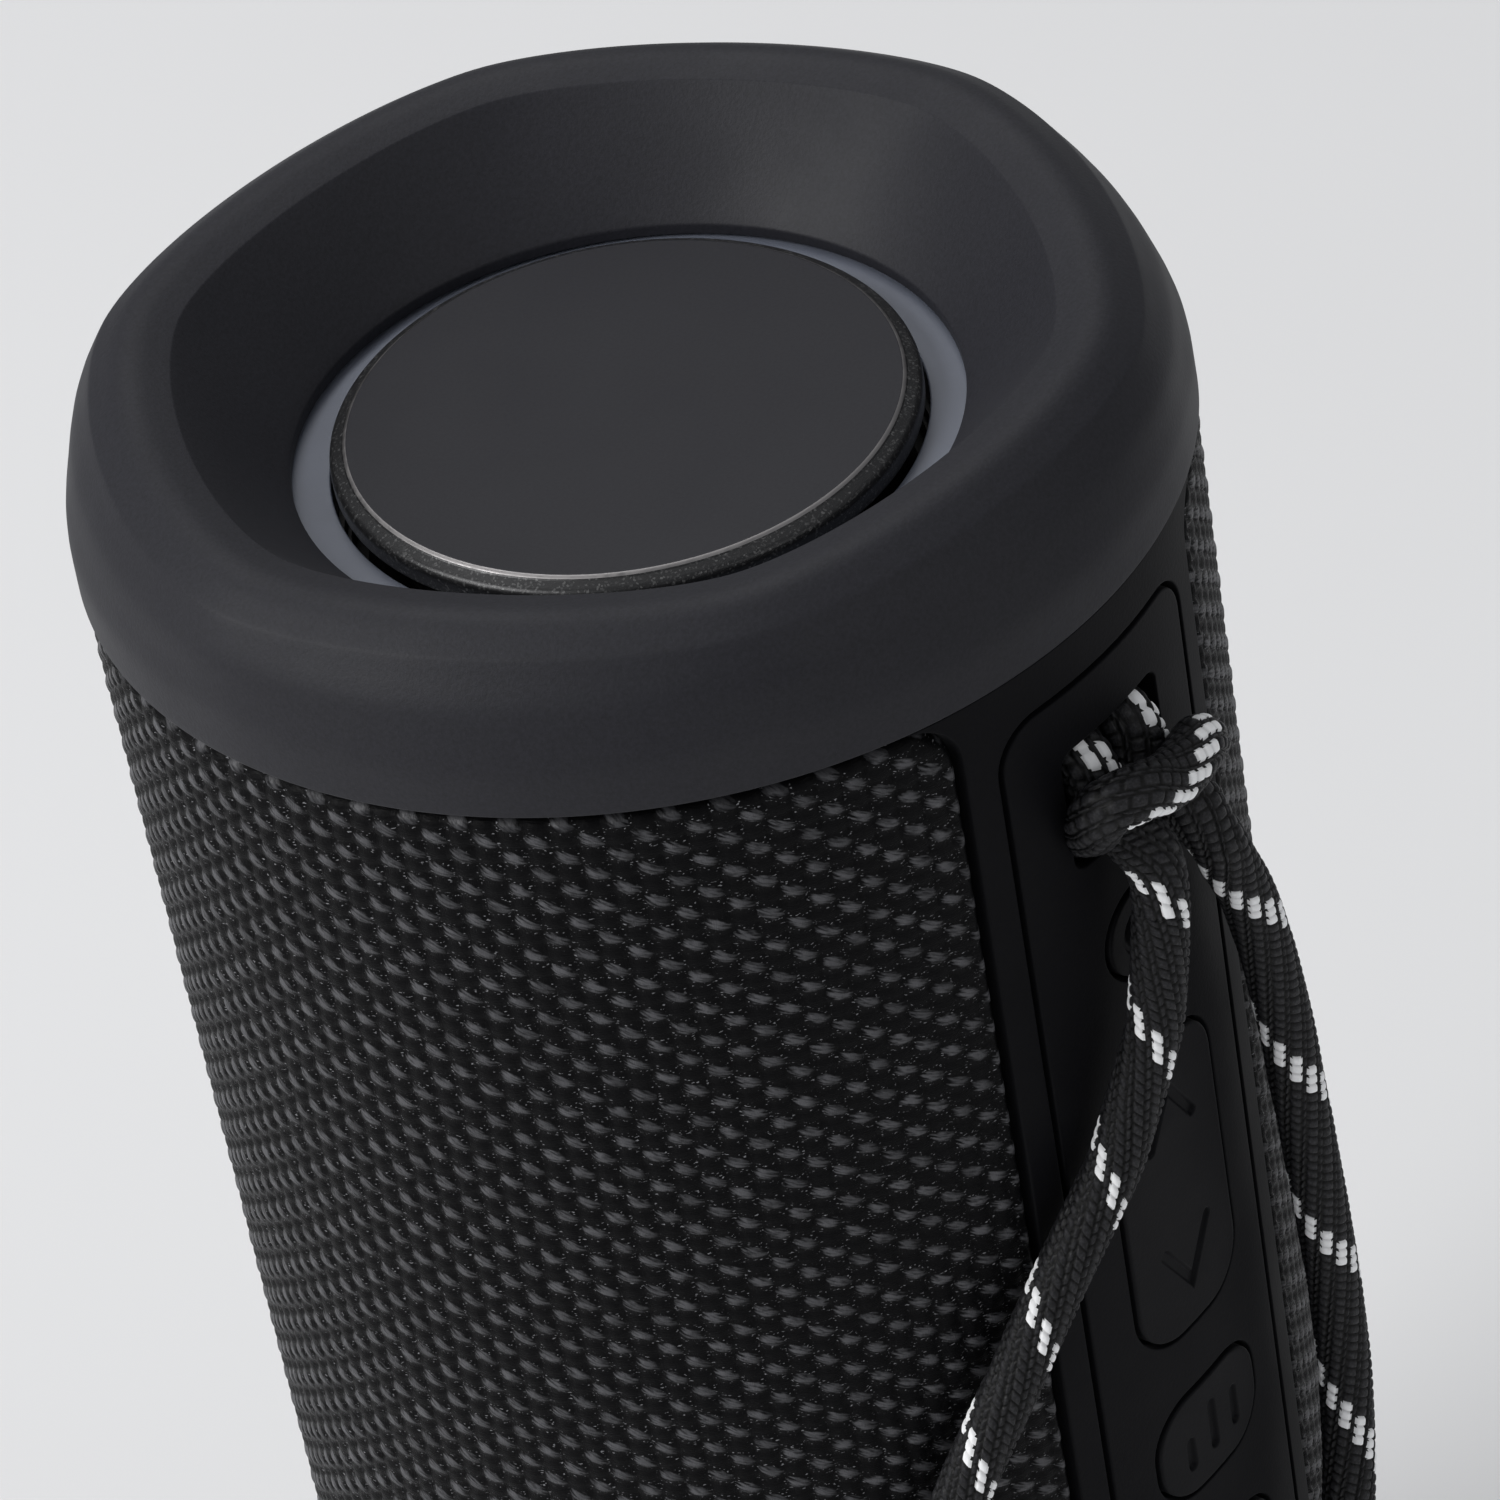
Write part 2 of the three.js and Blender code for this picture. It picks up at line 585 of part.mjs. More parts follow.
const LEFT_ROUTE = [
  [-2.1, 24.4, 4], [-2.9, 28.5, 4], [-4.3, 34.5, 3.9], [-6.3, 39.8, 3.3],
  [-8.9, 45.2, 2.9], [-12.5, 49.9, 2.7], [-16.1, 55, 2.6], [-19.5, 60.5, 2.6],
  [-22.9, 66, 2.7], [-26.9, 74, 2.9], [-30.1, 84, 3.2], [-31.9, 95, 3.7],
  [-32.1, 107, 4.2], [-31, 119, 4.5], [-28.8, 130, 4.8], [-26.2, 140, 5.3],
  [-23.6, 149, 6], [-22.2, 155, 6.6],
];
const RIGHT_ROUTE = [
  [5.4, 24.4, 3.7], [6.9, 28.3, 3.8], [8.6, 33.1, 4], [10.8, 44.6, 4.3],
  [11.8, 55.4, 4.5], [12.6, 66.2, 4.7], [13.6, 77.8, 4.7], [13.5, 88.2, 4.7],
  [11.8, 97.2, 4.7], [8.8, 106, 4.7], [4.6, 114.5, 4.7], [-0.4, 122.3, 4.8],
  [-5.8, 129.6, 4.9], [-10.9, 137, 5.2], [-15.2, 144.5, 5.8], [-18.6, 152, 6.5],
];
const KNOT = { along: -20.3, down: 157.5, out: 7.2, across: 6.2, deep: 5.2, tall: 6.6 };
const TAILS = [[-22.4, 5.2], [-18.4, 7.2]];
const TAIL_END = 175;

function onSurface([along, down, out]) {
  const radius = SKIN_R + out;
  const angle = along / SKIN_R;
  return new THREE.Vector3(radius * Math.sin(angle), -radius * Math.cos(angle), below(down));
}

function ropeTube(route, radius, steps, sides = 8) {
  const path = new THREE.CatmullRomCurve3(route.map(onSurface));
  const section = new THREE.Shape();
  section.absarc(0, 0, radius, 0, 2 * Math.PI);
  return new THREE.ExtrudeGeometry(section,
    { steps, extrudePath: path, curveSegments: sides / 2, bevelEnabled: false });
}

function knotBall(grow) {
  const { along, down, out, across, deep, tall } = KNOT;
  return new THREE.SphereGeometry(1, 12, 8)
    .scale(across + grow, deep + grow, tall + grow)
    .rotateZ(along / SKIN_R)
    .translate(...onSurface([along, down, out]).toArray());
}

function knot() {
  let body = solid(knotBall(0));
  for (const [along, out] of TAILS) {
    const tail = ropeTube([[along, KNOT.down, out], [along, 166, out], [along, TAIL_END, out]],
      ROPE_R - 0.1, 4);
    body = body.add(solid(tail));
  }
  return body;
}

const strand = (route, steps) =>
  solid(ropeTube(route, ROPE_R, steps)).subtract(solid(knotBall(GAP)));

add('lanyard_hitch', ropeTube(HITCH_ROUTE, HITCH_R, 54), rope);
addSolid('lanyard_rope_left', strand(LEFT_ROUTE, 28), rope);
addSolid('lanyard_rope_right', strand(RIGHT_ROUTE, 28), rope);
addSolid('lanyard_knot', knot(), rope);

export default speaker;
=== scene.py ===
"""Looks of the portable speaker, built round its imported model, in metres and in the model's frame.

It stands on z = 0 with its axis on +Z and its control panel facing -Y. Lengths below are in
millimetres where a name or comment says so, and are turned into metres where a piece is made.
"""

import json
import math

import bpy
import numpy as np
from mathutils import Matrix, Vector
from mathutils.geometry import delaunay_2d_cdt


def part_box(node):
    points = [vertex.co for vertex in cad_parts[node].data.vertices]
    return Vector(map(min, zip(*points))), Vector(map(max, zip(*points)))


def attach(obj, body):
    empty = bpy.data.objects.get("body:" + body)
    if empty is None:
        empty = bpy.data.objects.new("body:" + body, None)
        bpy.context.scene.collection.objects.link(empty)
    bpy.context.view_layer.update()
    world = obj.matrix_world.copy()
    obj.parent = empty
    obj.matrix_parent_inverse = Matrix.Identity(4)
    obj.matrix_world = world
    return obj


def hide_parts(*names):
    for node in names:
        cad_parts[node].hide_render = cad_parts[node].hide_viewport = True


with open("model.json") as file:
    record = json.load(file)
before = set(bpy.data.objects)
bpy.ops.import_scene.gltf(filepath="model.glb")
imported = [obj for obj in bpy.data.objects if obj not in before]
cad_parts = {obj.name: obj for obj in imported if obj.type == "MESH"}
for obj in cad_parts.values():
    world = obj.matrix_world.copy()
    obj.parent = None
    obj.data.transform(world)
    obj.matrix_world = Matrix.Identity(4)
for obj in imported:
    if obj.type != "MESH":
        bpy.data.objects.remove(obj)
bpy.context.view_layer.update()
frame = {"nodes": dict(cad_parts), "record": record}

MM = 0.001
TAU = 2 * math.pi

# ---- sizes read from the frame, in mm


def size(node):
    """The node's lowest and highest corners, in mm."""
    low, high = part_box(node)
    return np.array(low) / MM, np.array(high) / MM


CAP_LOW, CAP_HIGH = size("top_cap")
TOP_EDGE = CAP_LOW[2]                     # lower edge of the upper cap
CREST = CAP_HIGH[2] - TOP_EDGE            # height of the cap's crest above its edge
BOTTOM_EDGE = size("bottom_cap")[1][2]
BODY_R = CAP_HIGH[0]
SKIN_R = -size("panel_frame")[0][1]       # outer surface of the panel
SKIN_IN = SKIN_R - 2                      # its inner surface
PANEL_HALF = 14.1                         # half width of the panel frame
PANEL_FILLET = 4.6                        # hollow fillet where the frame meets the caps
PAD_LOW, PAD_HIGH = size("control_pad")
GROOVE = 0.5                              # groove between the pad and its frame
PAD_CORNER = 3.5
BUTTON_GAP = 0.4
BUTTON_FACE = -size("eq_button")[0][1]


def below(distance):
    """Height on the panel, measured down from the upper cap's edge."""
    return TOP_EDGE - distance


# ---- camera

# The place is round the middle of the upper cap's edge; azimuth 0 looks along +Y.
CAMERA = {"azimuth": -46.1, "elevation": 35.4, "distance": 502.7}
AIM = {"heading": 46.74, "pitch": -38.05, "roll": -10.46}
LENS = 161.0


def rotation(degrees, axis):
    return Matrix.Rotation(math.radians(degrees), 4, axis)


def make_camera():
    a = math.radians(CAMERA["azimuth"])
    e = math.radians(CAMERA["elevation"])
    d = CAMERA["distance"]
    data = bpy.data.cameras.new("camera")
    data.lens = LENS
    data.sensor_width = 36
    data.clip_start = 0.01
    data.clip_end = 50
    camera = bpy.data.objects.new("camera", data)
    place = (math.sin(a) * math.cos(e) * d, -math.cos(a) * math.cos(e) * d,
             TOP_EDGE + math.sin(e) * d)
    turn = (rotation(-AIM["heading"], "Z") @ rotation(90 + AIM["pitch"], "X")
            @ rotation(AIM["roll"], "Z"))
    camera.matrix_world = Matrix.Translation(Vector(place) * MM) @ turn
    bpy.context.scene.collection.objects.link(camera)
    bpy.context.scene.camera = camera


make_camera()

# ---- mesh helpers


def make_piece(name, points, faces, looks, which=None):
    """A smooth mesh piece. points are in mm, faces a list of arrays that each hold faces with one
    number of corners, looks its materials, and which the material number of each face."""
    points = np.asarray(points, float) * MM
    mesh = bpy.data.meshes.new(name)
    mesh.vertices.add(len(points))
    mesh.vertices.foreach_set("co", points.astype(np.float32).ravel())
    corners = np.concatenate([f.ravel() for f in faces]).astype(np.int32)
    totals = np.concatenate([np.full(len(f), f.shape[1]) for f in faces]).astype(np.int32)
    starts = np.concatenate([[0], np.cumsum(totals)[:-1]]).astype(np.int32)
    mesh.loops.add(len(corners))
    mesh.loops.foreach_set("vertex_index", corners)
    mesh.polygons.add(len(totals))
    mesh.polygons.foreach_set("loop_start", starts)
    mesh.polygons.foreach_set("use_smooth", np.ones(len(totals), bool))
    if which is not None:
        mesh.polygons.foreach_set("material_index", np.asarray(which, np.int32))
    for look in looks:
        mesh.materials.append(look)
    mesh.update(calc_edges=True)
    mesh.validate()
    piece = bpy.data.objects.new(name, mesh)
    bpy.context.scene.collection.objects.link(piece)
    return piece


def grid_faces(rows, columns, wrap_rows=False, wrap_columns=False):
    """Quads over a grid of rows x columns points, which may close on itself either way."""
    i = np.arange(rows if wrap_rows else rows - 1)[:, None]
    j = np.arange(columns if wrap_columns else columns - 1)[None, :]
    up = (i + 1) % rows
    on = (j + 1) % columns
    quads = np.stack(np.broadcast_arrays(i * columns + j, i * columns + on,
                                         up * columns + on, up * columns + j), -1)
    return quads.reshape(-1, 4)


def welded(points, faces):
    """Merges points at one place, and drops the faces that this leaves without an area."""
    keys = np.round(np.asarray(points) * 1e4).astype(np.int64)
    _, first, same = np.unique(keys, axis=0, return_index=True, return_inverse=True)
    same = same.ravel()
    kept = []
    for group in faces:
        group = same[group]
        ordered = np.sort(group, axis=1)
        kept.append(group[(np.diff(ordered, axis=1) > 0).all(axis=1)])
    return np.asarray(points)[first], kept


NEARLY_STRAIGHT = 1.55  # half of a corner's angle, past which it gets no fillet
FILLET_SHARE = 0.45     # most that a fillet takes of a side
ARC_STEP = 0.22         # turn between points of a fillet, in radians


def unit(turn):
    """The direction or directions at that angle."""
    return np.stack([np.cos(turn), np.sin(turn)], -1)


def smoothstep(x, low, high):
    t = np.clip((x - low) / (high - low), 0, 1)
    return t * t * (3 - 2 * t)


def thickened(loop, like, step=2.0):
    """Adds points on a loop's long sides. like is the loop before it was grown, so that loops of
    one outline keep the same number of points."""
    lengths = np.linalg.norm(np.roll(like, -1, axis=0) - like, axis=1)
    dense = []
    for here, after, length in zip(loop, np.roll(loop, -1, axis=0), lengths):
        count = max(1, math.ceil(length / step))
        dense += [here + (after - here) * t / count for t in range(count)]
    return np.array(dense)


def rounded_profile(corners, step=0.7):
    """Points along a profile of (radius, height, fillet radius) corners, no further apart than
    step. The profile closes on itself."""
    found = []
    n = len(corners)
    for k in range(n):
        before, here, after = (np.array(corners[(k + d) % n][:2], float) for d in (-1, 0, 1))
        a, b = before - here, after - here
        a_long, b_long = np.linalg.norm(a), np.linalg.norm(b)
        a, b = a / a_long, b / b_long
        half = math.acos(np.clip(a @ b, -1, 1)) / 2
        fillet = corners[k][2]
        if fillet <= 0 or half > NEARLY_STRAIGHT:
            found.append(here)
            continue
        reach = min(fillet / math.tan(half), FILLET_SHARE * a_long, FILLET_SHARE * b_long)
        radius = reach * math.tan(half)
        middle = here + (a + b) / np.linalg.norm(a + b) * radius / math.sin(half)
        start, end = here + a * reach - middle, here + b * reach - middle
        sweep = math.pi - 2 * half
        count = max(2, math.ceil(sweep / ARC_STEP))
        sign = math.copysign(1, start[0] * end[1] - start[1] * end[0])
        for t in np.linspace(0, sweep, count + 1) * sign:
            c, s = math.cos(t), math.sin(t)
            found.append(middle + (c * start[0] - s * start[1], s * start[0] + c * start[1]))
    found = np.array(found)
    return thickened(found, found, step)


def turned(profile, segments, swell=None):
    """Points and quads for a closed profile turned about the axis. swell(angles, heights) moves
    the radii out."""
    angles = (np.arange(segments) * TAU / segments)[:, None]
    heights = np.repeat(profile[None, :, 1], segments, 0)
    radii = profile[None, :, 0] + (0 if swell is None else swell(angles, heights))
    points = np.stack([radii * np.cos(angles), radii * np.sin(angles), heights], -1)
    quads = grid_faces(segments, len(profile), True, True)
    after = np.roll(profile, -1, axis=0)
    inward = (profile[:, 0] * after[:, 1] - profile[:, 1] * after[:, 0]).sum() > 0
    return points.reshape(-1, 3), quads[:, ::-1] if inward else quads


def flipped(points, middle):
    """Turned over about the X direction, for the lower end."""
    return points * (1, -1, -1) + (0, 0, middle)


def seat(piece, body, slot, *nodes):
    """Puts a piece on its body and hides the nodes it replaces. slot, what it is made of, is not
    used.
    """
    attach(piece, body)
    if nodes:
        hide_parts(*nodes)


# ---- materials

FLAKE_SIZE = 0.16       # of the metallic flakes, in mm
GLINT = (0.20, 0.20, 0.21)      # colour of the painted glints of single filaments in the cloth's hollows
WARP_PITCH = 1.93       # between the cloth's neighbouring upright yarns, in mm
WEFT_PITCH = 1.5        # between its neighbouring yarns that run round the body
SHINE_SLANT = 0.46      # how far the cloth's painted highlights slant down to the right, in radians
SHINE_LONG = 0.9        # half length and half width of a painted highlight, in mm
SHINE_SHORT = 0.46
SHINE_UP = 0.1          # how far it lies above the middle of its crossing, in mm

class Look:
    """A procedural material with a Principled shader, and helpers to wire its nodes."""

    def __init__(self, name, color, roughness, **sockets):
        self.material = bpy.data.materials.new(name)
        self.material.use_nodes = True
        self.tree = self.material.node_tree
        self.tree.nodes.clear()
        self.shader = self.node("ShaderNodeBsdfPrincipled")
        self.node("ShaderNodeOutputMaterial", {0: self.shader.outputs[0]})
        self.feed(self.shader, "Base Color", (*color, 1))
        self.feed(self.shader, "Roughness", roughness)
        for socket, value in sockets.items():
            self.feed(self.shader, socket.replace("_", " "), value)
        self.space = self.node("ShaderNodeTexCoord").outputs["Object"]

    def node(self, kind, inputs=(), **values):
        """A node with those properties, and inputs that are each a value or an output."""
        made = self.tree.nodes.new(kind)
        for name, value in values.items():
            setattr(made, name, value)
        for name, value in dict(inputs).items():
            self.feed(made, name, value)
        return made

    def feed(self, node, name, value):
        """Sets a node's input, or links it to another node's output."""
        if isinstance(value, bpy.types.NodeSocket):
            self.tree.links.new(value, node.inputs[name])
        else:
            node.inputs[name].default_value = value

    def noise(self, size_mm, detail=3, stretch=(1, 1, 1), rough=0.5, space=None, turn=0.0):
        """Noise whose features are about size_mm across, drawn out along an axis by stretch. turn
        rotates what it is drawn from about Z first."""
        space = space or self.space
        if turn:
            space = self.node("ShaderNodeMapping",
                              {"Rotation": (0, 0, turn), "Vector": space}).outputs[0]
        place = self.node("ShaderNodeMapping",
                          {"Scale": [1 / (size_mm * MM * s) for s in stretch], "Vector": space})
        return self.node("ShaderNodeTexNoise", {
            "Scale": 1, "Detail": detail, "Roughness": rough, "Vector": place.outputs[0],
        }).outputs["Fac"]

    def ramp(self, value, low, high, to_low=0.0, to_high=1.0):
        return self.node("ShaderNodeMapRange",
                         enumerate((value, low, high, to_low, to_high))).outputs[0]

    def math(self, operation, *values):
        return self.node("ShaderNodeMath", enumerate(values), operation=operation).outputs[0]

    def tint(self, factor, other, blend="MIX"):
        """Mixes another colour or output into what is the base colour so far."""
        socket = self.shader.inputs["Base Color"]
        so_far = socket.links[0].from_socket if socket.is_linked else socket.default_value
        if isinstance(other, tuple):
            other = (*other, 1)
        mix = self.node("ShaderNodeMix", {"Factor": factor, "A": so_far, "B": other},
                        data_type="RGBA", blend_type=blend)
        self.feed(self.shader, "Base Color", mix.outputs["Result"])

    def vary_roughness(self, value, low, high):
        self.feed(self.shader, "Roughness", self.ramp(value, 0.3, 0.7, low, high))

    def bump(self, value, depth_mm, strength=1.0):
        """Adds relief to what is already there."""
        inputs = {"Strength": strength, "Distance": depth_mm * MM, "Height": value}
        socket = self.shader.inputs["Normal"]
        if socket.is_linked:
            inputs["Normal"] = socket.links[0].from_socket
        self.feed(self.shader, "Normal", self.node("ShaderNodeBump", inputs).outputs[0])


def silicone(name, color, roughness=0.58, gloss=0.3):
    """Soft-touch silicone: matte, with a fine even grain and faint cloudy handling marks."""
    look = Look(name, color, roughness, Specular_IOR_Level=gloss, Sheen_Weight=0.02,
                Sheen_Roughness=0.4)
    grain = look.noise(0.32, detail=2, rough=0.7)
    look.tint(look.ramp(grain, 0.3, 0.7), tuple(c * 1.5 for c in color))
    look.vary_roughness(look.noise(14), roughness - 0.05, roughness + 0.05)
    look.bump(grain, 0.03, 0.7)
    return look.material


def moulded(name, color, roughness=0.45):
    """Injection-moulded plastic with a spark-eroded texture."""
    look = Look(name, color, roughness, Specular_IOR_Level=0.5)
    look.vary_roughness(look.noise(3), roughness - 0.08, roughness + 0.1)
    look.bump(look.noise(0.25, detail=4), 0.03, 0.6)
    return look.material


def satin_face():
    """Satin-painted radiator plate."""
    look = Look("satin_face", (0.0072, 0.0070, 0.0104), 0.42, Specular_IOR_Level=0.26)
    grain = look.noise(0.3, detail=2, rough=0.7)
    look.tint(look.ramp(grain, 0.3, 0.7), (0.0115, 0.0115, 0.0155))
    look.vary_roughness(look.noise(9), 0.33, 0.4)
    look.bump(grain, 0.006, 0.5)
    return look.material


def flake_edge():
    """The plate's rounded edge: black lacquer over coarse metallic flake."""
    look = Look("flake_edge", (0.012, 0.012, 0.013), 0.34, Metallic=0.35, Specular_IOR_Level=0.7)
    flakes = look.node("ShaderNodeTexVoronoi",
                       {"Scale": 1 / (FLAKE_SIZE * MM), "Vector": look.space})
    tone = look.node("ShaderNodeSeparateColor", {0: flakes.outputs["Color"]}).outputs
    look.tint(look.ramp(tone[0], 0.8, 1.0), (0.09, 0.09, 0.09))
    look.bump(tone[1], 0.05, 0.7)
    return look.material


def diffuser(name, color):
    """Milky light diffuser."""
    look = Look(name, color, 0.38, Specular_IOR_Level=0.5, Subsurface_Weight=0.3,
                Subsurface_Scale=0.002, Subsurface_Radius=(1, 1, 1))
    look.tint(look.ramp(look.noise(5), 0.35, 0.7), tuple(c * 1.12 for c in color))
    look.bump(look.noise(0.3), 0.01, 0.4)
    return look.material


def yarn(name, color, along, roughness=0.5, fibre=0.075, depth=0.05, gloss=0.3):
    """Filament yarn. along says how the mesh's yarn coordinates are drawn out: the fibres run
    that way."""
    look = Look(name, color, roughness, Specular_IOR_Level=gloss, Sheen_Weight=0.0,
                Sheen_Roughness=0.35)
    look.yarn_space = look.node("ShaderNodeUVMap", uv_map="yarn").outputs[0]
    fibres = look.noise(fibre, detail=2, stretch=along, space=look.yarn_space)
    look.flecks = look.noise(0.22, detail=2)
    look.vary_roughness(fibres, roughness - 0.12, roughness + 0.14)
    look.bump(fibres, depth, 0.9)
    look.bump(look.flecks, 0.06, 0.5)
    weave = look.node("ShaderNodeUVMap", uv_map="weave").outputs[0]
    look.height = look.node("ShaderNodeSeparateXYZ", {0: weave}).outputs[0]
    return look


def rope_yarn(name, color, spread, hollow, **settings):
    """hollow is how much of the colour is left in the painted shade of the hollows between the
    strands.
    """
    look = yarn(name, color, (1, 6, 1), fibre=0.06, **settings)
    look.tint(look.ramp(look.flecks, 0.4, 0.75), tuple(c * spread for c in color))
    # Painted shade: the base colour darkens into the hollows between the strands.
    look.tint(1, look.ramp(look.height, 0.35, 0.85, hollow, 1.0), "MULTIPLY")
    return look.material


def cloth_yarn(name, color, crest, along, shine):
    """A yarn of the cloth. Its floats get a slanting painted highlight in the base colour where the
    satin filaments lie flat, brighter at its upper left end; its hollows get painted shade, and
    painted glints of single filaments sit in the hollows beside the floats."""
    look = yarn(name, color, along, 0.46)
    calc = look.math
    place = look.node("ShaderNodeSeparateXYZ", {0: look.yarn_space}).outputs
    cells, offsets = [], []
    for output, pitch in ((place[0], WARP_PITCH), (place[1], WEFT_PITCH)):
        turns = calc("DIVIDE", output, pitch * MM)
        cells.append(calc("ROUND", turns))
        offsets.append(calc("MULTIPLY", calc("SUBTRACT", turns, cells[-1]), pitch))
    over = look.ramp(calc("FLOORED_MODULO", calc("ADD", *cells), 2), 0.25, 0.75, 1.0, 0.0)
    across, up = offsets
    # Painted highlight: a slanting ellipse on the top of each float, lightened into the base colour.
    c, s = math.cos(SHINE_SLANT), math.sin(SHINE_SLANT)
    long = calc("ADD", calc("MULTIPLY", across, c), calc("MULTIPLY", up, -s))
    short = calc("ADD", calc("MULTIPLY", across, s), calc("MULTIPLY", up, c))
    long = calc("DIVIDE", long, SHINE_LONG)
    short = calc("DIVIDE", calc("SUBTRACT", short, SHINE_UP), SHINE_SHORT)
    reach = calc("ADD", calc("MULTIPLY", long, long), calc("MULTIPLY", short, short))
    strands = look.noise(0.19, detail=2, stretch=(5, 1, 1), space=look.yarn_space,
                         turn=SHINE_SLANT)
    # Streaks of lying filaments break the painted highlight up.
    streaked_reach = calc("ADD", reach, look.ramp(strands, 0.3, 0.7, 0.75, -0.75))
    highlight_patch = calc("MULTIPLY", look.ramp(streaked_reach, 1.2, 0.0), over)
    # The painted highlight is brighter at its upper left end, where the key light falls, and varies
    # at random in strength.
    highlight_patch = calc("MULTIPLY", highlight_patch, look.ramp(long, -0.7, 1.0, 1.15, 0.55))
    highlight_patch = calc("MULTIPLY", highlight_patch, look.ramp(look.noise(2.2, detail=2), 0.3, 0.7, 0.55, 1.2))
    # The painted highlight goes into the base colour, with a higher specular level under it.
    look.tint(calc("MULTIPLY", highlight_patch, shine), crest)
    look.feed(look.shader, "Specular IOR Level", look.ramp(highlight_patch, 0, 1, 0.06, 0.45))
    # Painted shade: the base colour darkens into the hollows of the weave.
    look.tint(1, look.ramp(look.height, 0.1, 0.7, 0.1, 1.0), "MULTIPLY")
    # Painted glints of single filaments in the hollows beside the floats.
    sparkle = look.noise(0.15, detail=1, stretch=(2.2, 1, 1), space=look.yarn_space)
    look.tint(calc("MULTIPLY", look.ramp(sparkle, 0.66, 0.69), look.ramp(reach, 1.0, 1.5)), GLINT)
    return look.material


def metal(name, color, roughness):
    look = Look(name, color, roughness, Metallic=1.0)
    look.vary_roughness(look.noise(0.6, stretch=(8, 1, 1)), roughness - 0.08, roughness + 0.12)
    look.bump(look.noise(0.12, stretch=(12, 1, 1)), 0.008, 0.4)
    return look.material


def circuit_board(name, mask, trace):
    look = Look(name, mask, 0.4, Specular_IOR_Level=0.5)
    traces = look.node("ShaderNodeTexBrick",
                       {"Scale": 120, "Mortar Size": 0.04, "Vector": look.space},
                       offset=0.5).outputs["Fac"]
    look.tint(traces, trace)
    look.bump(traces, 0.04, 0.6)
    return look.material


BRIGHT_CHAMFER = metal("bright_chamfer", (0.26, 0.25, 0.25), 0.4)
CAP_SILICONE = silicone("cap_silicone", (0.0115, 0.0115, 0.0148), 0.58, 0.24)
# The panel's and keys' silicone is darker than the cap's as painted shade, because the panel faces
# away from the key light.
PANEL_SILICONE_SHADED = silicone("panel_silicone_shaded", (0.0030, 0.0030, 0.0038), 0.58, 0.06)
KEY_SILICONE_SHADED = silicone("key_silicone_shaded", (0.0034, 0.0034, 0.0042), 0.56, 0.08)
SATIN_FACE = satin_face()
FLAKE_EDGE = flake_edge()
RING_DIFFUSER = diffuser("ring_diffuser", (0.122, 0.134, 0.168))
LENS_DIFFUSER = diffuser("lens_diffuser", (0.12, 0.13, 0.15))
# Each yarn's third value is the colour of its painted highlight, the last how strongly it is
# painted.
WARP_YARN = cloth_yarn("warp_yarn", (0.0032, 0.0032, 0.0036), (0.066, 0.066, 0.072), (1, 9, 1), 1)
WEFT_YARN = cloth_yarn("weft_yarn", (0.0028, 0.0028, 0.0032), (0.03, 0.03, 0.032), (9, 1, 1), 0.3)
# The fourth value is how much colour the painted shade leaves in the rope's hollows.
ROPE_BLACK = rope_yarn("rope_black", (0.007, 0.007, 0.008), 3.8, 0.05, roughness=0.5, gloss=0.26)
ROPE_WHITE = rope_yarn("rope_white", (0.94, 0.945, 0.95), 1.01, 0.85, roughness=0.55, depth=0.03)
BLACK_PLASTIC = moulded("black_plastic", (0.012, 0.012, 0.013))
SATIN_STEEL = metal("satin_steel", (0.56, 0.57, 0.58), 0.32)
SURROUND_RUBBER = silicone("surround_rubber", (0.008, 0.008, 0.008), 0.5)
CONE_PULP = moulded("cone_pulp", (0.02, 0.02, 0.02), 0.75)
CELL_WRAP = moulded("cell_wrap", (0.02, 0.12, 0.4), 0.35)
BOARD = circuit_board("circuit_board", (0.012, 0.075, 0.035), (0.03, 0.14, 0.06))
LIGHT_BOARD = circuit_board("light_board", (0.006, 0.006, 0.006), (0.012, 0.012, 0.012))

# ---- rope lanyard

# Routes are (along the surface from the panel's middle, down from the upper cap's edge, out from
# the panel's surface), in mm.
HITCH_ROUTE = [
    (-2.1, 24, 4), (-1.6, 20.8, 3.4), (-2, 17.8, 1.2), (-2.6, 14.8, -0.1), (-2.6, 12.4, -1.3),
    (-2.6, 11.7, -3.6), (-2.7, 12.8, -5.9), (-2.9, 15.2, -6.8), (-3.3, 17.6, -5.7),
    (-3.8, 18.5, -3.2), (-4.1, 17.7, -0.9), (-4.9, 15.9, 1.3), (-5.4, 14, 2.6), (-4.9, 12.8, 3.7),
    (-3.5, 12.6, 4.5), (-0.6, 13.7, 4.7), (1.9, 14.1, 4.5), (4, 14.5, 4), (5.6, 15.7, 3.3),
    (5.5, 17.4, 2), (4, 18.4, -0.7), (3.8, 18.5, -3.2), (3.3, 17.6, -5.7), (2.9, 15.2, -6.8),
    (2.7, 12.8, -5.9), (2.6, 11.7, -3.6), (2.6, 12.4, -1.3), (2.6, 14.8, -0.1), (3.1, 17.8, 1),
    (4.3, 20.8, 2.7), (5.3, 24, 3.6),
]
LEFT_ROUTE = [
    (-2.1, 24.4, 4), (-2.9, 28.5, 4), (-4.3, 34.5, 3.9), (-6.3, 39.8, 3.3), (-8.9, 45.2, 2.9),
    (-12.5, 49.9, 2.7), (-16.1, 55, 2.6), (-19.5, 60.5, 2.6), (-22.9, 66, 2.7), (-26.9, 74, 2.9),
    (-30.1, 84, 3.2), (-31.9, 95, 3.7), (-32.1, 107, 4.2), (-31, 119, 4.5), (-28.8, 130, 4.8),
    (-26.2, 140, 5.3), (-23.6, 149, 6), (-22.2, 155, 6.6),
]
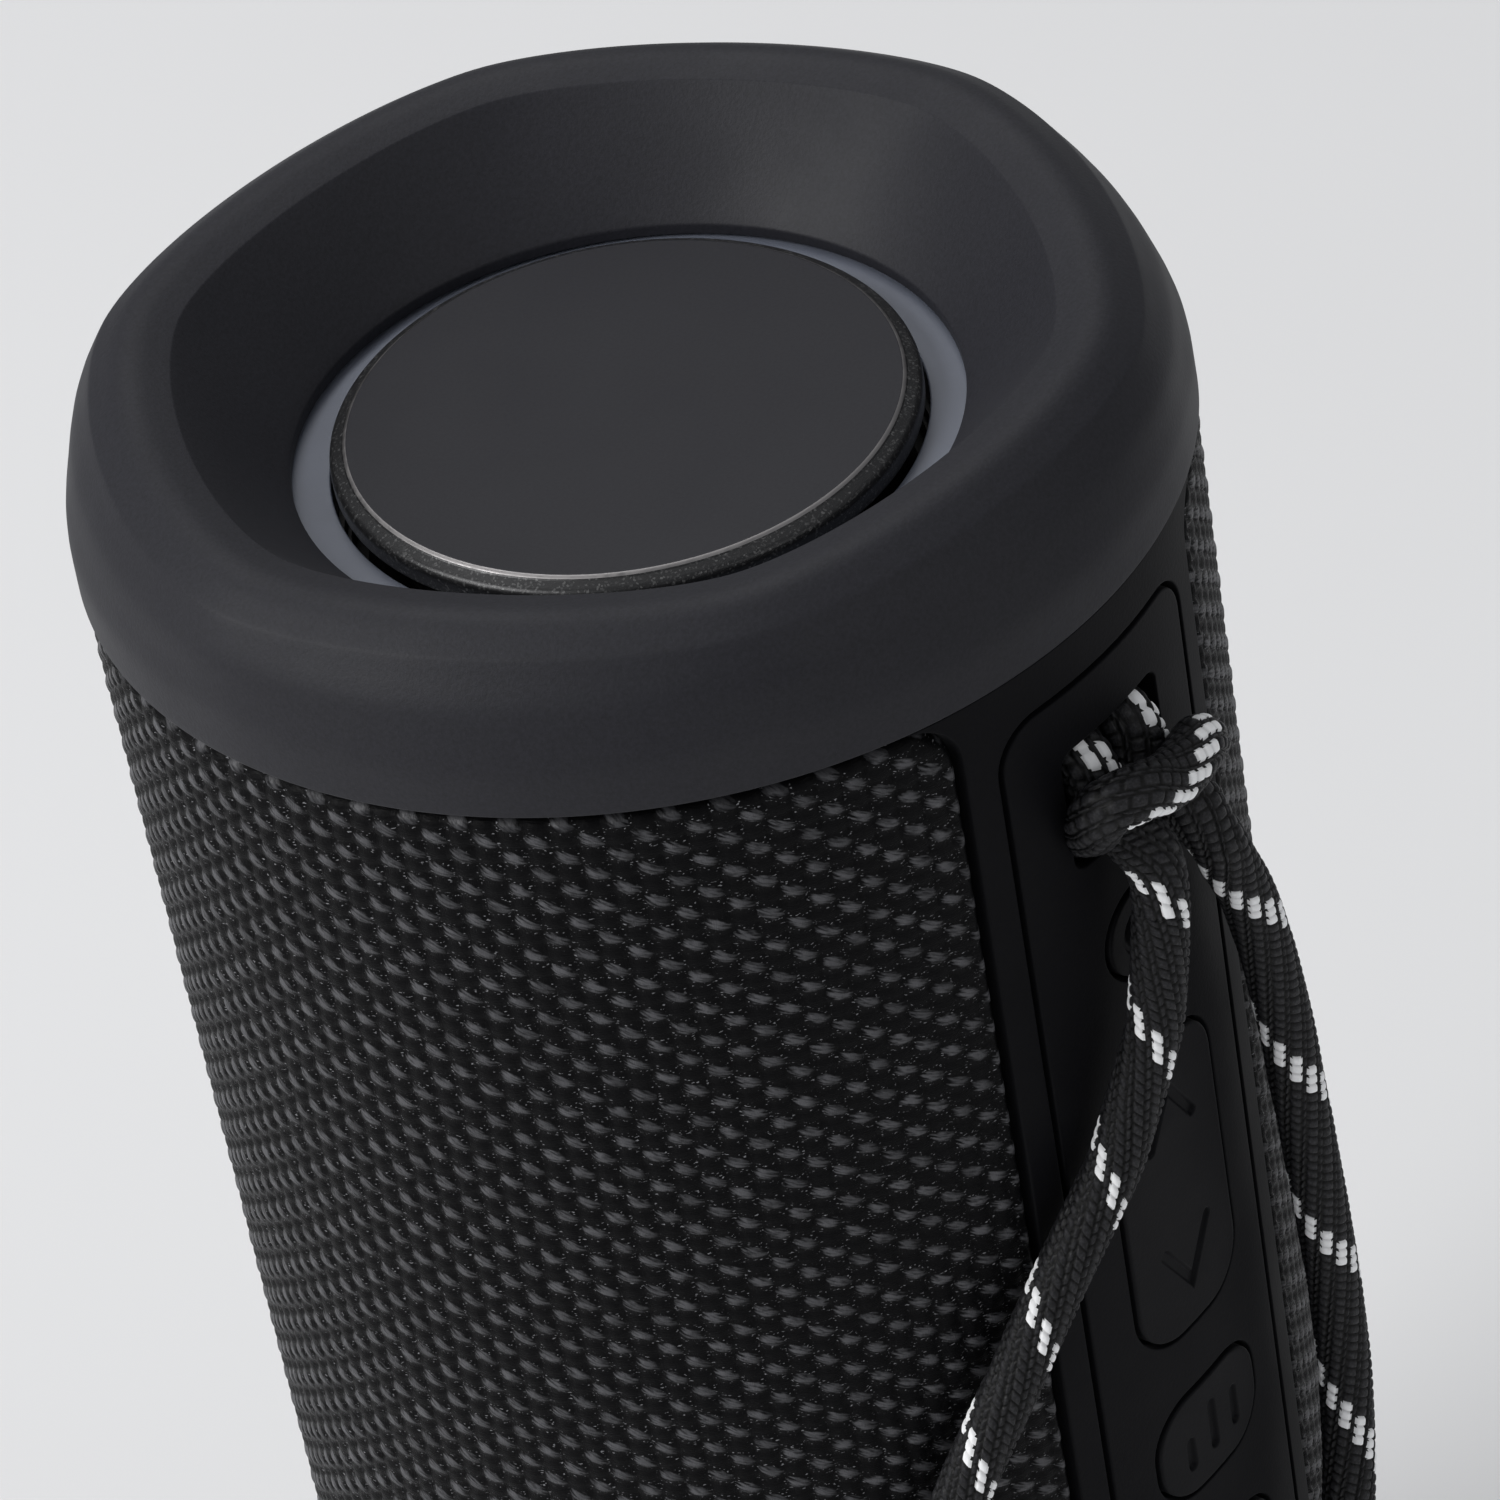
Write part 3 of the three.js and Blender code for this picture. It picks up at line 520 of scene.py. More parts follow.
RIGHT_ROUTE = [
    (5.4, 24.4, 3.7), (6.9, 28.3, 3.8), (8.6, 33.1, 4), (10.8, 44.6, 4.3), (11.8, 55.4, 4.5),
    (12.6, 66.2, 4.7), (13.6, 77.8, 4.7), (13.5, 88.2, 4.7), (11.8, 97.2, 4.7), (8.8, 106, 4.7),
    (4.6, 114.5, 4.7), (-0.4, 122.3, 4.8), (-5.8, 129.6, 4.9), (-10.9, 137, 5.2),
    (-15.2, 144.5, 5.8), (-18.6, 152, 6.5),
]
KNOT = {"along": -20.3, "down": 157.5, "out": 7.2, "across": 6.2, "deep": 5.2, "tall": 6.6}
KNOT_TURNS = 2.6
TAILS = [(-22.4, 5.2), (-18.4, 7.2)]    # along and out
TAIL_END = 174.6        # down
LEFT_TWIST = -6.4       # twist of the rope in each length, in degrees to the mm
HITCH_TWIST = 8.72
RIGHT_TWIST = 4.4
TWIST_BLEND = 20        # mesh rows each way over which one twist becomes the next
TWIST_TURNS = (0.15, 1.09)      # where the one becomes the next, as shares of the hitch's length
FIRST_TWIST = 276.0     # its angle where the left strand leaves the knot, in degrees

ROPE_R = 1.95           # to the valleys between the strands of the braid, in mm
DOME = 0.7              # how far a closed end bulges
STRAND = 0.27           # how far a strand of the braid stands above them
BRAID_PAIRS = 9         # pairs of strand columns round the rope, one leaning each way
WIDE_COLUMN = 0.7       # share of a pair taken by the column that holds the tracer
BRAID_ROW = 0.9         # length of rope taken by one crossing
BRAID_SLANT = 0.42      # how far a crossing drops over its column's width
TRACER_STEP = 2         # crossings that the tracer climbs from one pair to the next
TRACER_RUN = 3          # crossings in which each tracer strand shows
LOZENGE = 0.69          # size of a crossing's white lozenge, as a share of the crossing
NARROW_HIGH = 0.8       # height of the narrow columns, as a share of the wide ones
CROSS_STEPS = (6, 3)    # mesh steps over a wide and a narrow column
ROW_STEPS = 6           # mesh steps over one crossing; even, as narrow columns sit half a row off


def on_surface(route):
    """Route points, in mm, as points in the frame, in mm."""
    along, down, out = np.asarray(route, float).T
    radius = SKIN_R + out
    angle = along / SKIN_R
    return np.stack([radius * np.sin(angle), -radius * np.cos(angle), below(down)], -1)


def smooth_line(points, step):
    """Evenly spaced points, about step apart, on a centripetal Catmull-Rom curve."""
    p = np.asarray(points, float)
    p = np.vstack([2 * p[0] - p[1], p, 2 * p[-1] - p[-2]])
    knots = np.concatenate([[0], np.cumsum(np.sqrt(np.linalg.norm(np.diff(p, axis=0), axis=1)))])
    line = []
    for k in range(1, len(p) - 2):
        t0, t1, t2, t3 = knots[k - 1:k + 3]
        t = np.linspace(t1, t2, 24, endpoint=False)[:, None]
        a1 = (t1 - t) / (t1 - t0) * p[k - 1] + (t - t0) / (t1 - t0) * p[k]
        a2 = (t2 - t) / (t2 - t1) * p[k] + (t - t1) / (t2 - t1) * p[k + 1]
        a3 = (t3 - t) / (t3 - t2) * p[k + 1] + (t - t2) / (t3 - t2) * p[k + 2]
        b1 = (t2 - t) / (t2 - t0) * a1 + (t - t0) / (t2 - t0) * a2
        b2 = (t3 - t) / (t3 - t1) * a2 + (t - t1) / (t3 - t1) * a3
        line.append((t2 - t) / (t2 - t1) * b1 + (t - t1) / (t2 - t1) * b2)
    line = np.vstack([*line, p[-2]])
    gone = np.concatenate([[0], np.cumsum(np.linalg.norm(np.diff(line, axis=0), axis=1))])
    wanted = np.linspace(0, gone[-1], max(2, round(gone[-1] / step)) + 1)
    return np.stack([np.interp(wanted, gone, line[:, k]) for k in range(3)], -1)


def tangents_of(line):
    tangents = np.gradient(line, axis=0)
    return tangents / np.linalg.norm(tangents, axis=1)[:, None]


def frames_along(line, first_side):
    """Unit sides and fronts, carried along the line without twisting."""
    tangents = tangents_of(line)
    sides = np.empty_like(line)
    side = np.asarray(first_side, float)
    for k, tangent in enumerate(tangents):
        side = side - (side @ tangent) * tangent
        side = side / np.linalg.norm(side)
        sides[k] = side
    return sides, np.cross(tangents, sides)


class Braid:
    """The braid's mesh pattern: strand columns round the rope, crossed by rows along it."""

    def __init__(self):
        columns, local, turns = [], [], []
        for column in range(2 * BRAID_PAIRS):
            low, high = ((0, WIDE_COLUMN), (WIDE_COLUMN, 1))[column % 2]
            steps = CROSS_STEPS[column % 2]
            for k in range(steps):
                columns.append(column)
                local.append(k / steps)
                turns.append((column // 2 + low + (high - low) * k / steps) / BRAID_PAIRS)
        self.columns, self.local, self.turns = map(np.array, (columns, local, turns))
        self.around = len(columns)
        self.leaning = self.columns % 2
        down = BRAID_SLANT * (0.5 - self.local)
        self.slant = np.where(self.leaning == 0, down, -down)

    def relief(self, rows):
        """Height of the strands, from 0 to 1, at mesh rows along the rope."""
        across = 1 - np.abs(2 * self.local - 1) ** 3
        across = np.where(self.leaning == 0, across, NARROW_HIGH * across)[None, :]
        phase = (rows[:, None] / ROW_STEPS + 0.5 * self.leaning[None, :]) % 1
        return np.sqrt(across * (1 - np.abs(2 * phase - 1) ** 3))

    def tracer(self, rows, start):
        """Which mesh quads, that begin at these rows, are part of a tracer strand."""
        crossing = np.floor((rows[:, None] + start) / ROW_STEPS)
        shift = (TRACER_STEP * (self.columns // 2))[None, :]
        shows = np.mod(crossing + shift, TRACER_STEP * BRAID_PAIRS) < TRACER_RUN
        step = (np.mod(rows + start, ROW_STEPS)[:, None] + 0.5) / ROW_STEPS - 0.5
        side = (self.local + 0.5 / CROSS_STEPS[0] - 0.5)[None, :]
        lozenge = np.abs(side) + 0.8 * np.abs(step) < LOZENGE
        return shows & (self.leaning == 0)[None, :] & lozenge


BRAID = Braid()


def braided(name, line, sides, fronts, rows, start=0, wide=1.0, deep=1.0, ends=(False, False),
            twist=0.0):
    """A braided rope along a line of points, in mm, with sides and fronts across it. rows numbers
    the mesh rows, wide and deep squash the section, start moves the tracer, in mesh rows, ends
    says which ends are closed by a dome, and twist turns the braid about the line, in radians."""
    n = len(line)
    relief = BRAID.relief(rows)
    radius = ROPE_R + STRAND * relief
    angle = BRAID.turns[None, :] * TAU + np.broadcast_to(twist, n)[:, None]
    wide, deep = (np.broadcast_to(np.asarray(x, float), n)[:, None, None] for x in (wide, deep))
    ring = (np.cos(angle)[..., None] * sides[:, None, :] * wide
            + np.sin(angle)[..., None] * fronts[:, None, :] * deep)
    tangents = tangents_of(line)
    slant = np.tile(BRAID.slant, (n, 1))
    slant[[0, -1]] = 0
    points = line[:, None, :] + ring * radius[..., None] + tangents[:, None, :] * slant[..., None]
    points = points.reshape(-1, 3)
    faces = [grid_faces(n, BRAID.around, wrap_columns=True)]
    which = BRAID.tracer(rows[:-1], start).ravel().astype(int)
    for end, closed in zip((0, n - 1), ends):
        if not closed:
            continue
        ring_ids = np.arange(BRAID.around) + end * BRAID.around
        fan = np.stack([ring_ids, np.roll(ring_ids, -1), np.full(BRAID.around, len(points))], -1)
        points = np.vstack([points, line[end] + tangents[end] * (-DOME if end == 0 else DOME)])
        faces.append(fan[:, ::-1] if end == 0 else fan)
        which = np.concatenate([which, np.zeros(BRAID.around, int)])
    piece = make_piece(name, points, faces, [ROPE_BLACK, ROPE_WHITE], which)
    across = np.tile(BRAID.turns * TAU * ROPE_R, n)
    along = np.repeat(rows * BRAID_ROW / ROW_STEPS, BRAID.around)
    yarn_map(piece, across, along, relief, len(points))
    return piece


def yarn_map(piece, across, along, relief, count):
    """What yarn materials read: the place across and along the yarns, in mm, and the height of
    the weave, from 0 in its hollows to 1."""
    corners = np.empty(len(piece.data.loops), np.int32)
    piece.data.loops.foreach_get("vertex_index", corners)
    for name, pair in (("yarn", (across * MM, along * MM)), ("weave", (relief, relief))):
        place = np.zeros((count, 2))
        for k in (0, 1):
            place[:pair[k].size, k] = pair[k].ravel()
        layer = piece.data.uv_layers.new(name=name)
        layer.data.foreach_set("uv", place[corners].astype(np.float32).ravel())


def make_lanyard():
    """The rope from the knot up the left strand, through the hitch and down the right strand. It
    is laid out as one line, then cut where each piece ends, so that the braid runs on."""
    left, hitch, right = map(on_surface, (LEFT_ROUTE, HITCH_ROUTE, RIGHT_ROUTE))
    line = smooth_line(np.vstack([left[::-1], hitch, right]), BRAID_ROW / ROW_STEPS)
    rows = np.arange(len(line))
    sides, fronts = frames_along(line, (1, 0, 0))
    cuts = [int(np.argmin(np.linalg.norm(line - (a + b) / 2, axis=1)))
            for a, b in ((left[0], hitch[0]), (hitch[-1], right[0]))]
    share = (rows - cuts[0]) / (cuts[1] - cuts[0])
    inward = np.minimum(share, 1 - share)
    # The hitch's legs lie flattened against the lip of the slot.
    leg = (1 - smoothstep(inward, 0.26, 0.36)) * smoothstep(inward, 0.01, 0.06)
    turning = np.where(share < TWIST_TURNS[0], LEFT_TWIST,
                       np.where(share < TWIST_TURNS[1], HITCH_TWIST, RIGHT_TWIST))
    window = np.ones(2 * TWIST_BLEND + 1) / (2 * TWIST_BLEND + 1)
    smooth = np.convolve(np.pad(turning, TWIST_BLEND, mode="edge"), window, "valid")
    twist = np.radians(np.cumsum(smooth) * BRAID_ROW / ROW_STEPS + FIRST_TWIST)
    parts = (("lanyard_left", "lanyard_rope_left", 0, cuts[0] + 1),
             ("lanyard_hitch_rope", "lanyard_hitch", cuts[0], cuts[1] + 1),
             ("lanyard_right", "lanyard_rope_right", cuts[1], len(line)))
    for name, node, first, last in parts:
        some = slice(first, last)
        piece = braided(name, line[some], sides[some], fronts[some], rows[some],
                        wide=1 + 0.2 * leg[some], deep=1 - 0.08 * leg[some],
                        ends=(first == 0, last == len(line)), twist=twist[some])
        seat(piece, "speaker_body", "braided_rope", node)
        if node == "lanyard_hitch":
            continue


def make_knot():
    """The end knot: both strands go down through a wound barrel and end in two short tails."""
    centre = on_surface([[KNOT["along"], KNOT["down"], KNOT["out"]]])[0]
    angle = KNOT["along"] / SKIN_R
    side = np.array([math.cos(angle), math.sin(angle), 0])
    front = np.array([math.sin(angle), -math.cos(angle), 0])
    t = np.linspace(0, 1, 120)[:, None]
    sweep = t * KNOT_TURNS * TAU
    squeeze = 1 - 0.25 * np.abs(2 * t - 1) ** 6
    coil = (centre + side * np.cos(sweep) * (KNOT["across"] - ROPE_R) * squeeze
            + front * np.sin(sweep) * (KNOT["deep"] - ROPE_R) * squeeze
            + np.array([0, 0, 1]) * (0.5 - t) * 2 * (KNOT["tall"] - ROPE_R - 0.3))
    lengths = [("lanyard_end_knot", coil, side, ["lanyard_knot"])]
    for k, (along, out) in enumerate(TAILS):
        tail = on_surface([[along, down, out] for down in (KNOT["down"] + 4.8, 168, TAIL_END)])
        lengths.append((f"lanyard_tail_{k + 1}", tail, (1, 0, 0), []))
    for k, (name, route, first_side, nodes) in enumerate(lengths):
        line = smooth_line(route, BRAID_ROW / ROW_STEPS)
        part = braided(name, line, *frames_along(line, first_side), np.arange(len(line)), 20 * k,
                       ends=(True, True))
        seat(part, "speaker_body", "braided_rope", *nodes)


make_lanyard()
make_knot()

# ---- end caps, radiators, light rings

# Corners of the cap's section: radius, height above the cap's edge, fillet.
CAP_CORNERS = [
    (BODY_R, 0, 0.25), (BODY_R - 0.1, 4.2, 8), (BODY_R - 1.2, 8.4, 6), (39.4, 11.3, 0.9),
    (36.4, CREST + 0.26, 4), (33.0, CREST - 0.9, 0.35), (25.5, 3.3, 0.5), (25.5, 2.4, 0.1),
    (26.6, 2.3, 0.1), (34.6, 10.3, 0.5), (38, 9.8, 0.5), (40.1, 5.4, 0.5), (40.15, 0, 0.1),
]
LOBES = 6               # of the rim, each with a soft corner
LOBE_PHASE = math.radians(-7)
LOBE_DEPTH = 0.6        # how far a corner stands out, and a hollow in, in mm
LOBE_SHARPNESS = 0.05   # smaller for sharper corners
DISC_FACE, DISC_FOOT = 5.0, -4.1
CHAMFER_R = (20.98, 21.24)      # inner and outer radius of the plate's bright chamfer
DISC_CORNERS = [
    (20.9, DISC_FACE, 0), (20.98, DISC_FACE, 0), (21.24, 4.82, 0), (21.34, 4.72, 0.05),
    (22.4, 4.3, 0.9), (22.4, 2.7, 0.3), (21.9, 2.4, 0.1), (12, 2.4, 0.2), (12, DISC_FOOT, 0),
]
RING_CORNERS = [
    (22.65, -1.4, 0.1), (26.6, -1.4, 0.1), (26.6, 2.1, 0.15), (22.65, 2.1, 0.15),
]


def lobe_wave(angle):
    """From -1 between the lobes to 1 on them, with narrow peaks."""
    fold = np.sqrt(np.sin((angle - LOBE_PHASE) * LOBES / 2) ** 2 + LOBE_SHARPNESS)
    low = math.sqrt(LOBE_SHARPNESS)
    high = math.sqrt(1 + LOBE_SHARPNESS)
    return 1 - 2 * (fold - low) / (high - low)


def cap_swell(angle, height):
    """The rim's soft corners, more so towards the crest and not on the hidden underside."""
    return LOBE_DEPTH * smoothstep(height, 2.5, 11.5) * lobe_wave(angle)


def place_end(points, side):
    """Points above the cap's edge, put in the frame for the top or bottom end."""
    return points + (0, 0, TOP_EDGE) if side == "top" else flipped(points, BOTTOM_EDGE)


def make_cap(side):
    points, quads = turned(rounded_profile(CAP_CORNERS), 288, cap_swell)
    piece = make_piece(f"{side}_silicone_cap", place_end(points, side), [quads], [CAP_SILICONE])
    seat(piece, "speaker_body", "silicone_rubber", f"{side}_cap")


def make_disc(side):
    """The radiator's plate: a flat satin face, a thin chamfer and a rounded flake edge."""
    profile = rounded_profile(DISC_CORNERS, 1.2)
    start = np.argmax(profile[:, 1] - 0.001 * profile[:, 0])
    inner = [(r, DISC_FACE) for r in np.arange(1.5, 20.5, 1.5)]
    hollow = [(r, DISC_FOOT) for r in np.arange(10.5, 1, -3)]
    section = np.array([*inner, *np.roll(profile, -start, axis=0), *hollow])
    segments = 192
    points, quads = turned(section, segments)
    quads = quads.reshape(segments, len(section), 4)[:, :-1].reshape(-1, 4)
    ring = np.arange(segments) * len(section)
    turn_on = np.roll(ring, -1)
    top = np.stack([ring, turn_on, np.full(segments, len(points))], -1)
    low = np.stack([turn_on + len(section) - 1, ring + len(section) - 1,
                    np.full(segments, len(points) + 1)], -1)
    points = np.vstack([points, (0, 0, DISC_FACE), (0, 0, DISC_FOOT)])
    middle = points[quads].mean(axis=1)
    radius = np.hypot(middle[:, 0], middle[:, 1])
    edge = np.where((radius > CHAMFER_R[1]) & (middle[:, 2] > 2), 1, 0)
    edge[(radius > CHAMFER_R[0]) & (radius < CHAMFER_R[1]) & (middle[:, 2] > 4.8)] = 2
    which = np.concatenate([edge, np.zeros(2 * segments, int)])
    piece = make_piece(f"{side}_radiator_plate", place_end(points, side), [quads, top, low],
                       [SATIN_FACE, FLAKE_EDGE, BRIGHT_CHAMFER], which)
    seat(piece, f"{side}_radiator", "satin_disc", f"{side}_radiator_disc")


def make_light_ring(side):
    points, quads = turned(rounded_profile(RING_CORNERS), 160)
    piece = make_piece(f"{side}_diffuser_ring", place_end(points, side), [quads], [RING_DIFFUSER])
    seat(piece, "speaker_body", "light_diffuser", f"{side}_light_ring")


for end in ("top", "bottom"):
    make_cap(end)
    make_disc(end)
    make_light_ring(end)

# ---- woven cloth sleeve

CRIMP = 0.24            # how far a yarn's line rises and falls
WARP_HIGH = 0.34        # half thickness of each yarn
WEFT_HIGH = 0.26
YARN_HALF = 0.54        # half width of a yarn, as a share of the pitch
CLOTH_R = SKIN_R - 0.55 # middle of the weave
UNDER_R = 40.12         # the cloth's edges tuck down to the housing
ACROSS_YARN = 6         # mesh steps over the width of one yarn
ALONG_YARN = 4


def wander(a, b, seed, size_mm):
    """Slow smooth waviness between -1 and 1, the same each time."""
    draw = np.random.default_rng(seed)
    total = 0
    for _ in range(5):
        x, y = draw.uniform(-1, 1, 2) / size_mm
        total = total + np.sin(TAU * (a * x + b * y) + draw.uniform(0, TAU))
    return total / 5


def cloth_relief(across, up):
    """Height of the weave, and whether the upright yarn is on top."""
    warp = across / WARP_PITCH
    weft = up / WEFT_PITCH
    best = np.full(np.broadcast(warp, weft).shape, -2.0)
    over = np.zeros(best.shape, bool)
    for di in (-1, 0, 1):
        for dj in (-1, 0, 1):
            column, row = np.round(warp) + di, np.round(weft) + dj
            rise = np.where(np.mod(column + row, 2) == 0, CRIMP, -CRIMP)
            u, v = warp - column, weft - row
            for is_warp, a, b, sign, high in ((True, u, v, 1, WARP_HIGH),
                                              (False, v, u, -1, WEFT_HIGH)):
                height = (sign * rise * np.cos(np.pi * b)
                          + high * np.sqrt(np.clip(1 - (a / YARN_HALF) ** 2, 0, 1)))
                height = np.where(np.abs(a) < YARN_HALF, height, -1)
                higher = height > best
                best = np.where(higher, height, best)
                over = np.where(higher, is_warp, over)
    return best, over


def cloth_inset(angle, up):
    """Distance in from the cloth window's edge, in mm. angle is from the panel's middle."""
    x = SKIN_R * np.sin(np.minimum(np.abs(angle), math.pi / 2))
    middle = (TOP_EDGE + BOTTOM_EDGE) / 2
    half = (TOP_EDGE - BOTTOM_EDGE) / 2 - 0.3
    inward = x - PANEL_HALF - 0.15
    upward = half - np.abs(up - middle)
    round_x = np.maximum(PANEL_FILLET - inward, 0)
    round_z = np.maximum(PANEL_FILLET - upward, 0)
    in_corner = PANEL_FILLET - np.hypot(round_x, round_z)
    return np.where((round_x > 0) & (round_z > 0), in_corner, np.minimum(inward, upward))


def make_cloth():
    edge_angle = math.asin((PANEL_HALF - 0.1) / SKIN_R)
    half_span = (math.pi - edge_angle) * SKIN_R
    columns = int(round(2 * half_span / WARP_PITCH)) * ACROSS_YARN + 1
    low, high = BOTTOM_EDGE + 0.2, TOP_EDGE - 0.2
    rows = int(round((high - low) / WEFT_PITCH)) * ALONG_YARN + 1
    across = np.linspace(-half_span, half_span, columns)[None, :]
    up = np.linspace(low, high, rows)[:, None]
    angle = math.pi + across / SKIN_R         # from the panel's middle
    shifted_across = across + 0.16 * wander(across, up, 3, 60)
    shifted_up = up + 0.14 * wander(across, up, 4, 70)
    relief, over = cloth_relief(shifted_across, shifted_up)
    relief = relief * (1 + 0.08 * wander(across, up, 5, 9))
    inset = cloth_inset(math.pi - np.abs(across) / SKIN_R, up)
    tuck = smoothstep(inset, -0.1, 1.0)
    radius = UNDER_R + (CLOTH_R + relief - UNDER_R) * np.sqrt(tuck)
    front = np.stack([radius * np.sin(angle), -radius * np.cos(angle),
                      np.broadcast_to(up, radius.shape)], -1).reshape(-1, 3)
    quads = grid_faces(rows, columns)
    ids = np.arange(rows * columns).reshape(rows, columns)
    loop = np.concatenate([ids[0, :-1], ids[:-1, -1], ids[-1, :0:-1], ids[:0:-1, 0]])
    back = front[loop].copy()
    scale = (UNDER_R - 0.08) / np.hypot(back[:, 0], back[:, 1])
    back[:, :2] *= scale[:, None]
    back_ids = np.arange(len(loop)) + len(front)
    rim = np.stack([loop, back_ids, np.roll(back_ids, -1), np.roll(loop, -1)], -1)
    bottom = back_ids[:columns]
    top = back_ids[columns + rows - 2:2 * columns + rows - 2][::-1]
    right = back_ids[columns - 1:columns + rows - 1]
    left = np.append(back_ids[2 * columns + rows - 3:], back_ids[0])[::-1]
    inner = np.stack([bottom[1:-2], top[1:-2], top[2:-1], bottom[2:-1]], -1)
    first = np.concatenate([left, [top[1], bottom[1]]])[None, :]
    last = np.concatenate([right[::-1], [bottom[-2], top[-2]]])[None, :]
    points = np.vstack([front, back])
    middle = over[:-1, :-1].astype(int) + over[1:, 1:] + over[:-1, 1:] + over[1:, :-1]
    which = np.where(middle.ravel() >= 2, 0, 1)
    rest = np.ones(len(rim) + len(inner) + 2, int)
    piece = make_piece("woven_sleeve", points, [quads, rim, inner, first, last],
                       [WARP_YARN, WEFT_YARN], np.concatenate([which, rest]))
    height = np.clip((relief + 0.15) / (CRIMP + WARP_HIGH + 0.15), 0, 1)
    yarn_map(piece, shifted_across, shifted_up, height, len(points))
    seat(piece, "speaker_body", "woven_cloth", "cloth_sleeve")


make_cloth()

# ---- panel pieces


def rounded_loop(half_x, z0, z1, corner, grow=0.0, middle_x=0.0):
    """Points round a rounded rectangle in the panel's plane, grown outwards by grow."""
    turns = np.linspace(0, math.pi / 2, 11)
    right, left = middle_x + half_x - corner, middle_x - half_x + corner
    centres = [(right, z1 - corner), (left, z1 - corner), (left, z0 + corner), (right, z0 + corner)]

    def outline(g):
        return np.vstack([centre + (corner + g) * unit(turns + k * math.pi / 2)
                          for k, centre in enumerate(centres)])

    return thickened(outline(grow), outline(0))


def panel_loop(grow):
    """The panel frame's outline, which flares into each cap."""
    side = PANEL_HALF + PANEL_FILLET
    upper = TOP_EDGE - 0.06 - PANEL_FILLET
    lower = BOTTOM_EDGE + 0.06 + PANEL_FILLET

    def outline(g):
        radius = PANEL_FILLET - g
        quarter = radius * unit(np.linspace(0, math.asin(min(1, (PANEL_FILLET + g) / radius)), 11))
        return np.vstack([quarter[::-1] + (-side, upper), quarter * (1, -1) + (-side, lower),
                          -quarter[::-1] + (side, lower), quarter * (-1, 1) + (side, upper)])

    return thickened(outline(grow), outline(0))


def box_loop(node, corner):
    """A rounded rectangle round a node's front, as a function of how far it grows."""
    low, high = size(node)
    half = (high[0] - low[0]) / 2
    middle = (high[0] + low[0]) / 2
    return lambda grow: rounded_loop(half, low[2], high[2], corner, grow, middle)


def inside(points, loop):
    """Which points lie inside a loop."""
    x, z = points[:, 0][:, None], points[:, 1][:, None]
    x0, z0 = loop.T
    x1, z1 = np.roll(loop, -1, axis=0).T
    crosses = (z0 > z) != (z1 > z)
    with np.errstate(divide="ignore", invalid="ignore"):
        at = x0 + (z - z0) / (z1 - z0) * (x1 - x0)
    return (crosses & (x < at)).sum(axis=1) % 2 == 1


def filled(outer, inner, spacing=1.6):
    """Points and triangles that fill the outer loop and leave the inner loops open."""
    low, high = outer.min(axis=0), outer.max(axis=0)
    xs = np.arange(low[0] + spacing / 2, high[0], spacing)
    zs = np.arange(low[1] + spacing / 2, high[1], spacing)
    spots = np.stack(np.meshgrid(xs, zs), -1).reshape(-1, 2)
    keep = inside(spots, outer)
    loops = [outer, *inner]
    for loop in loops:
        gap = np.min(np.linalg.norm(spots[:, None] - loop[None], axis=2), axis=1)
        keep &= gap > spacing * 0.45
    for loop in inner:
        keep &= ~inside(spots, loop)
    points = np.vstack([*loops, spots[keep]])
    edges = []
    start = 0
    for loop in loops:
        n = len(loop)
        edges += [(start + k, start + (k + 1) % n) for k in range(n)]
        start += n
    found = delaunay_2d_cdt([Vector(p) for p in points], edges, [], 0, 1e-6)
    made = np.array([points[origin[0]] if origin else tuple(v)
                     for v, origin in zip(found[0], found[3])])
    triangles = np.array([f for f in found[2] if len(f) == 3])
    middle = made[triangles].mean(axis=1)
    keep = inside(middle, outer)
    for loop in inner:
        keep &= ~inside(middle, loop)
    return made, triangles[keep]


def wrapped(plane, radius):
    """Panel-plane points put on a cylinder of that radius, facing -Y."""
    radius = np.broadcast_to(radius, len(plane))
    return np.stack([plane[:, 0], -np.sqrt(radius ** 2 - plane[:, 0] ** 2), plane[:, 1]], -1)


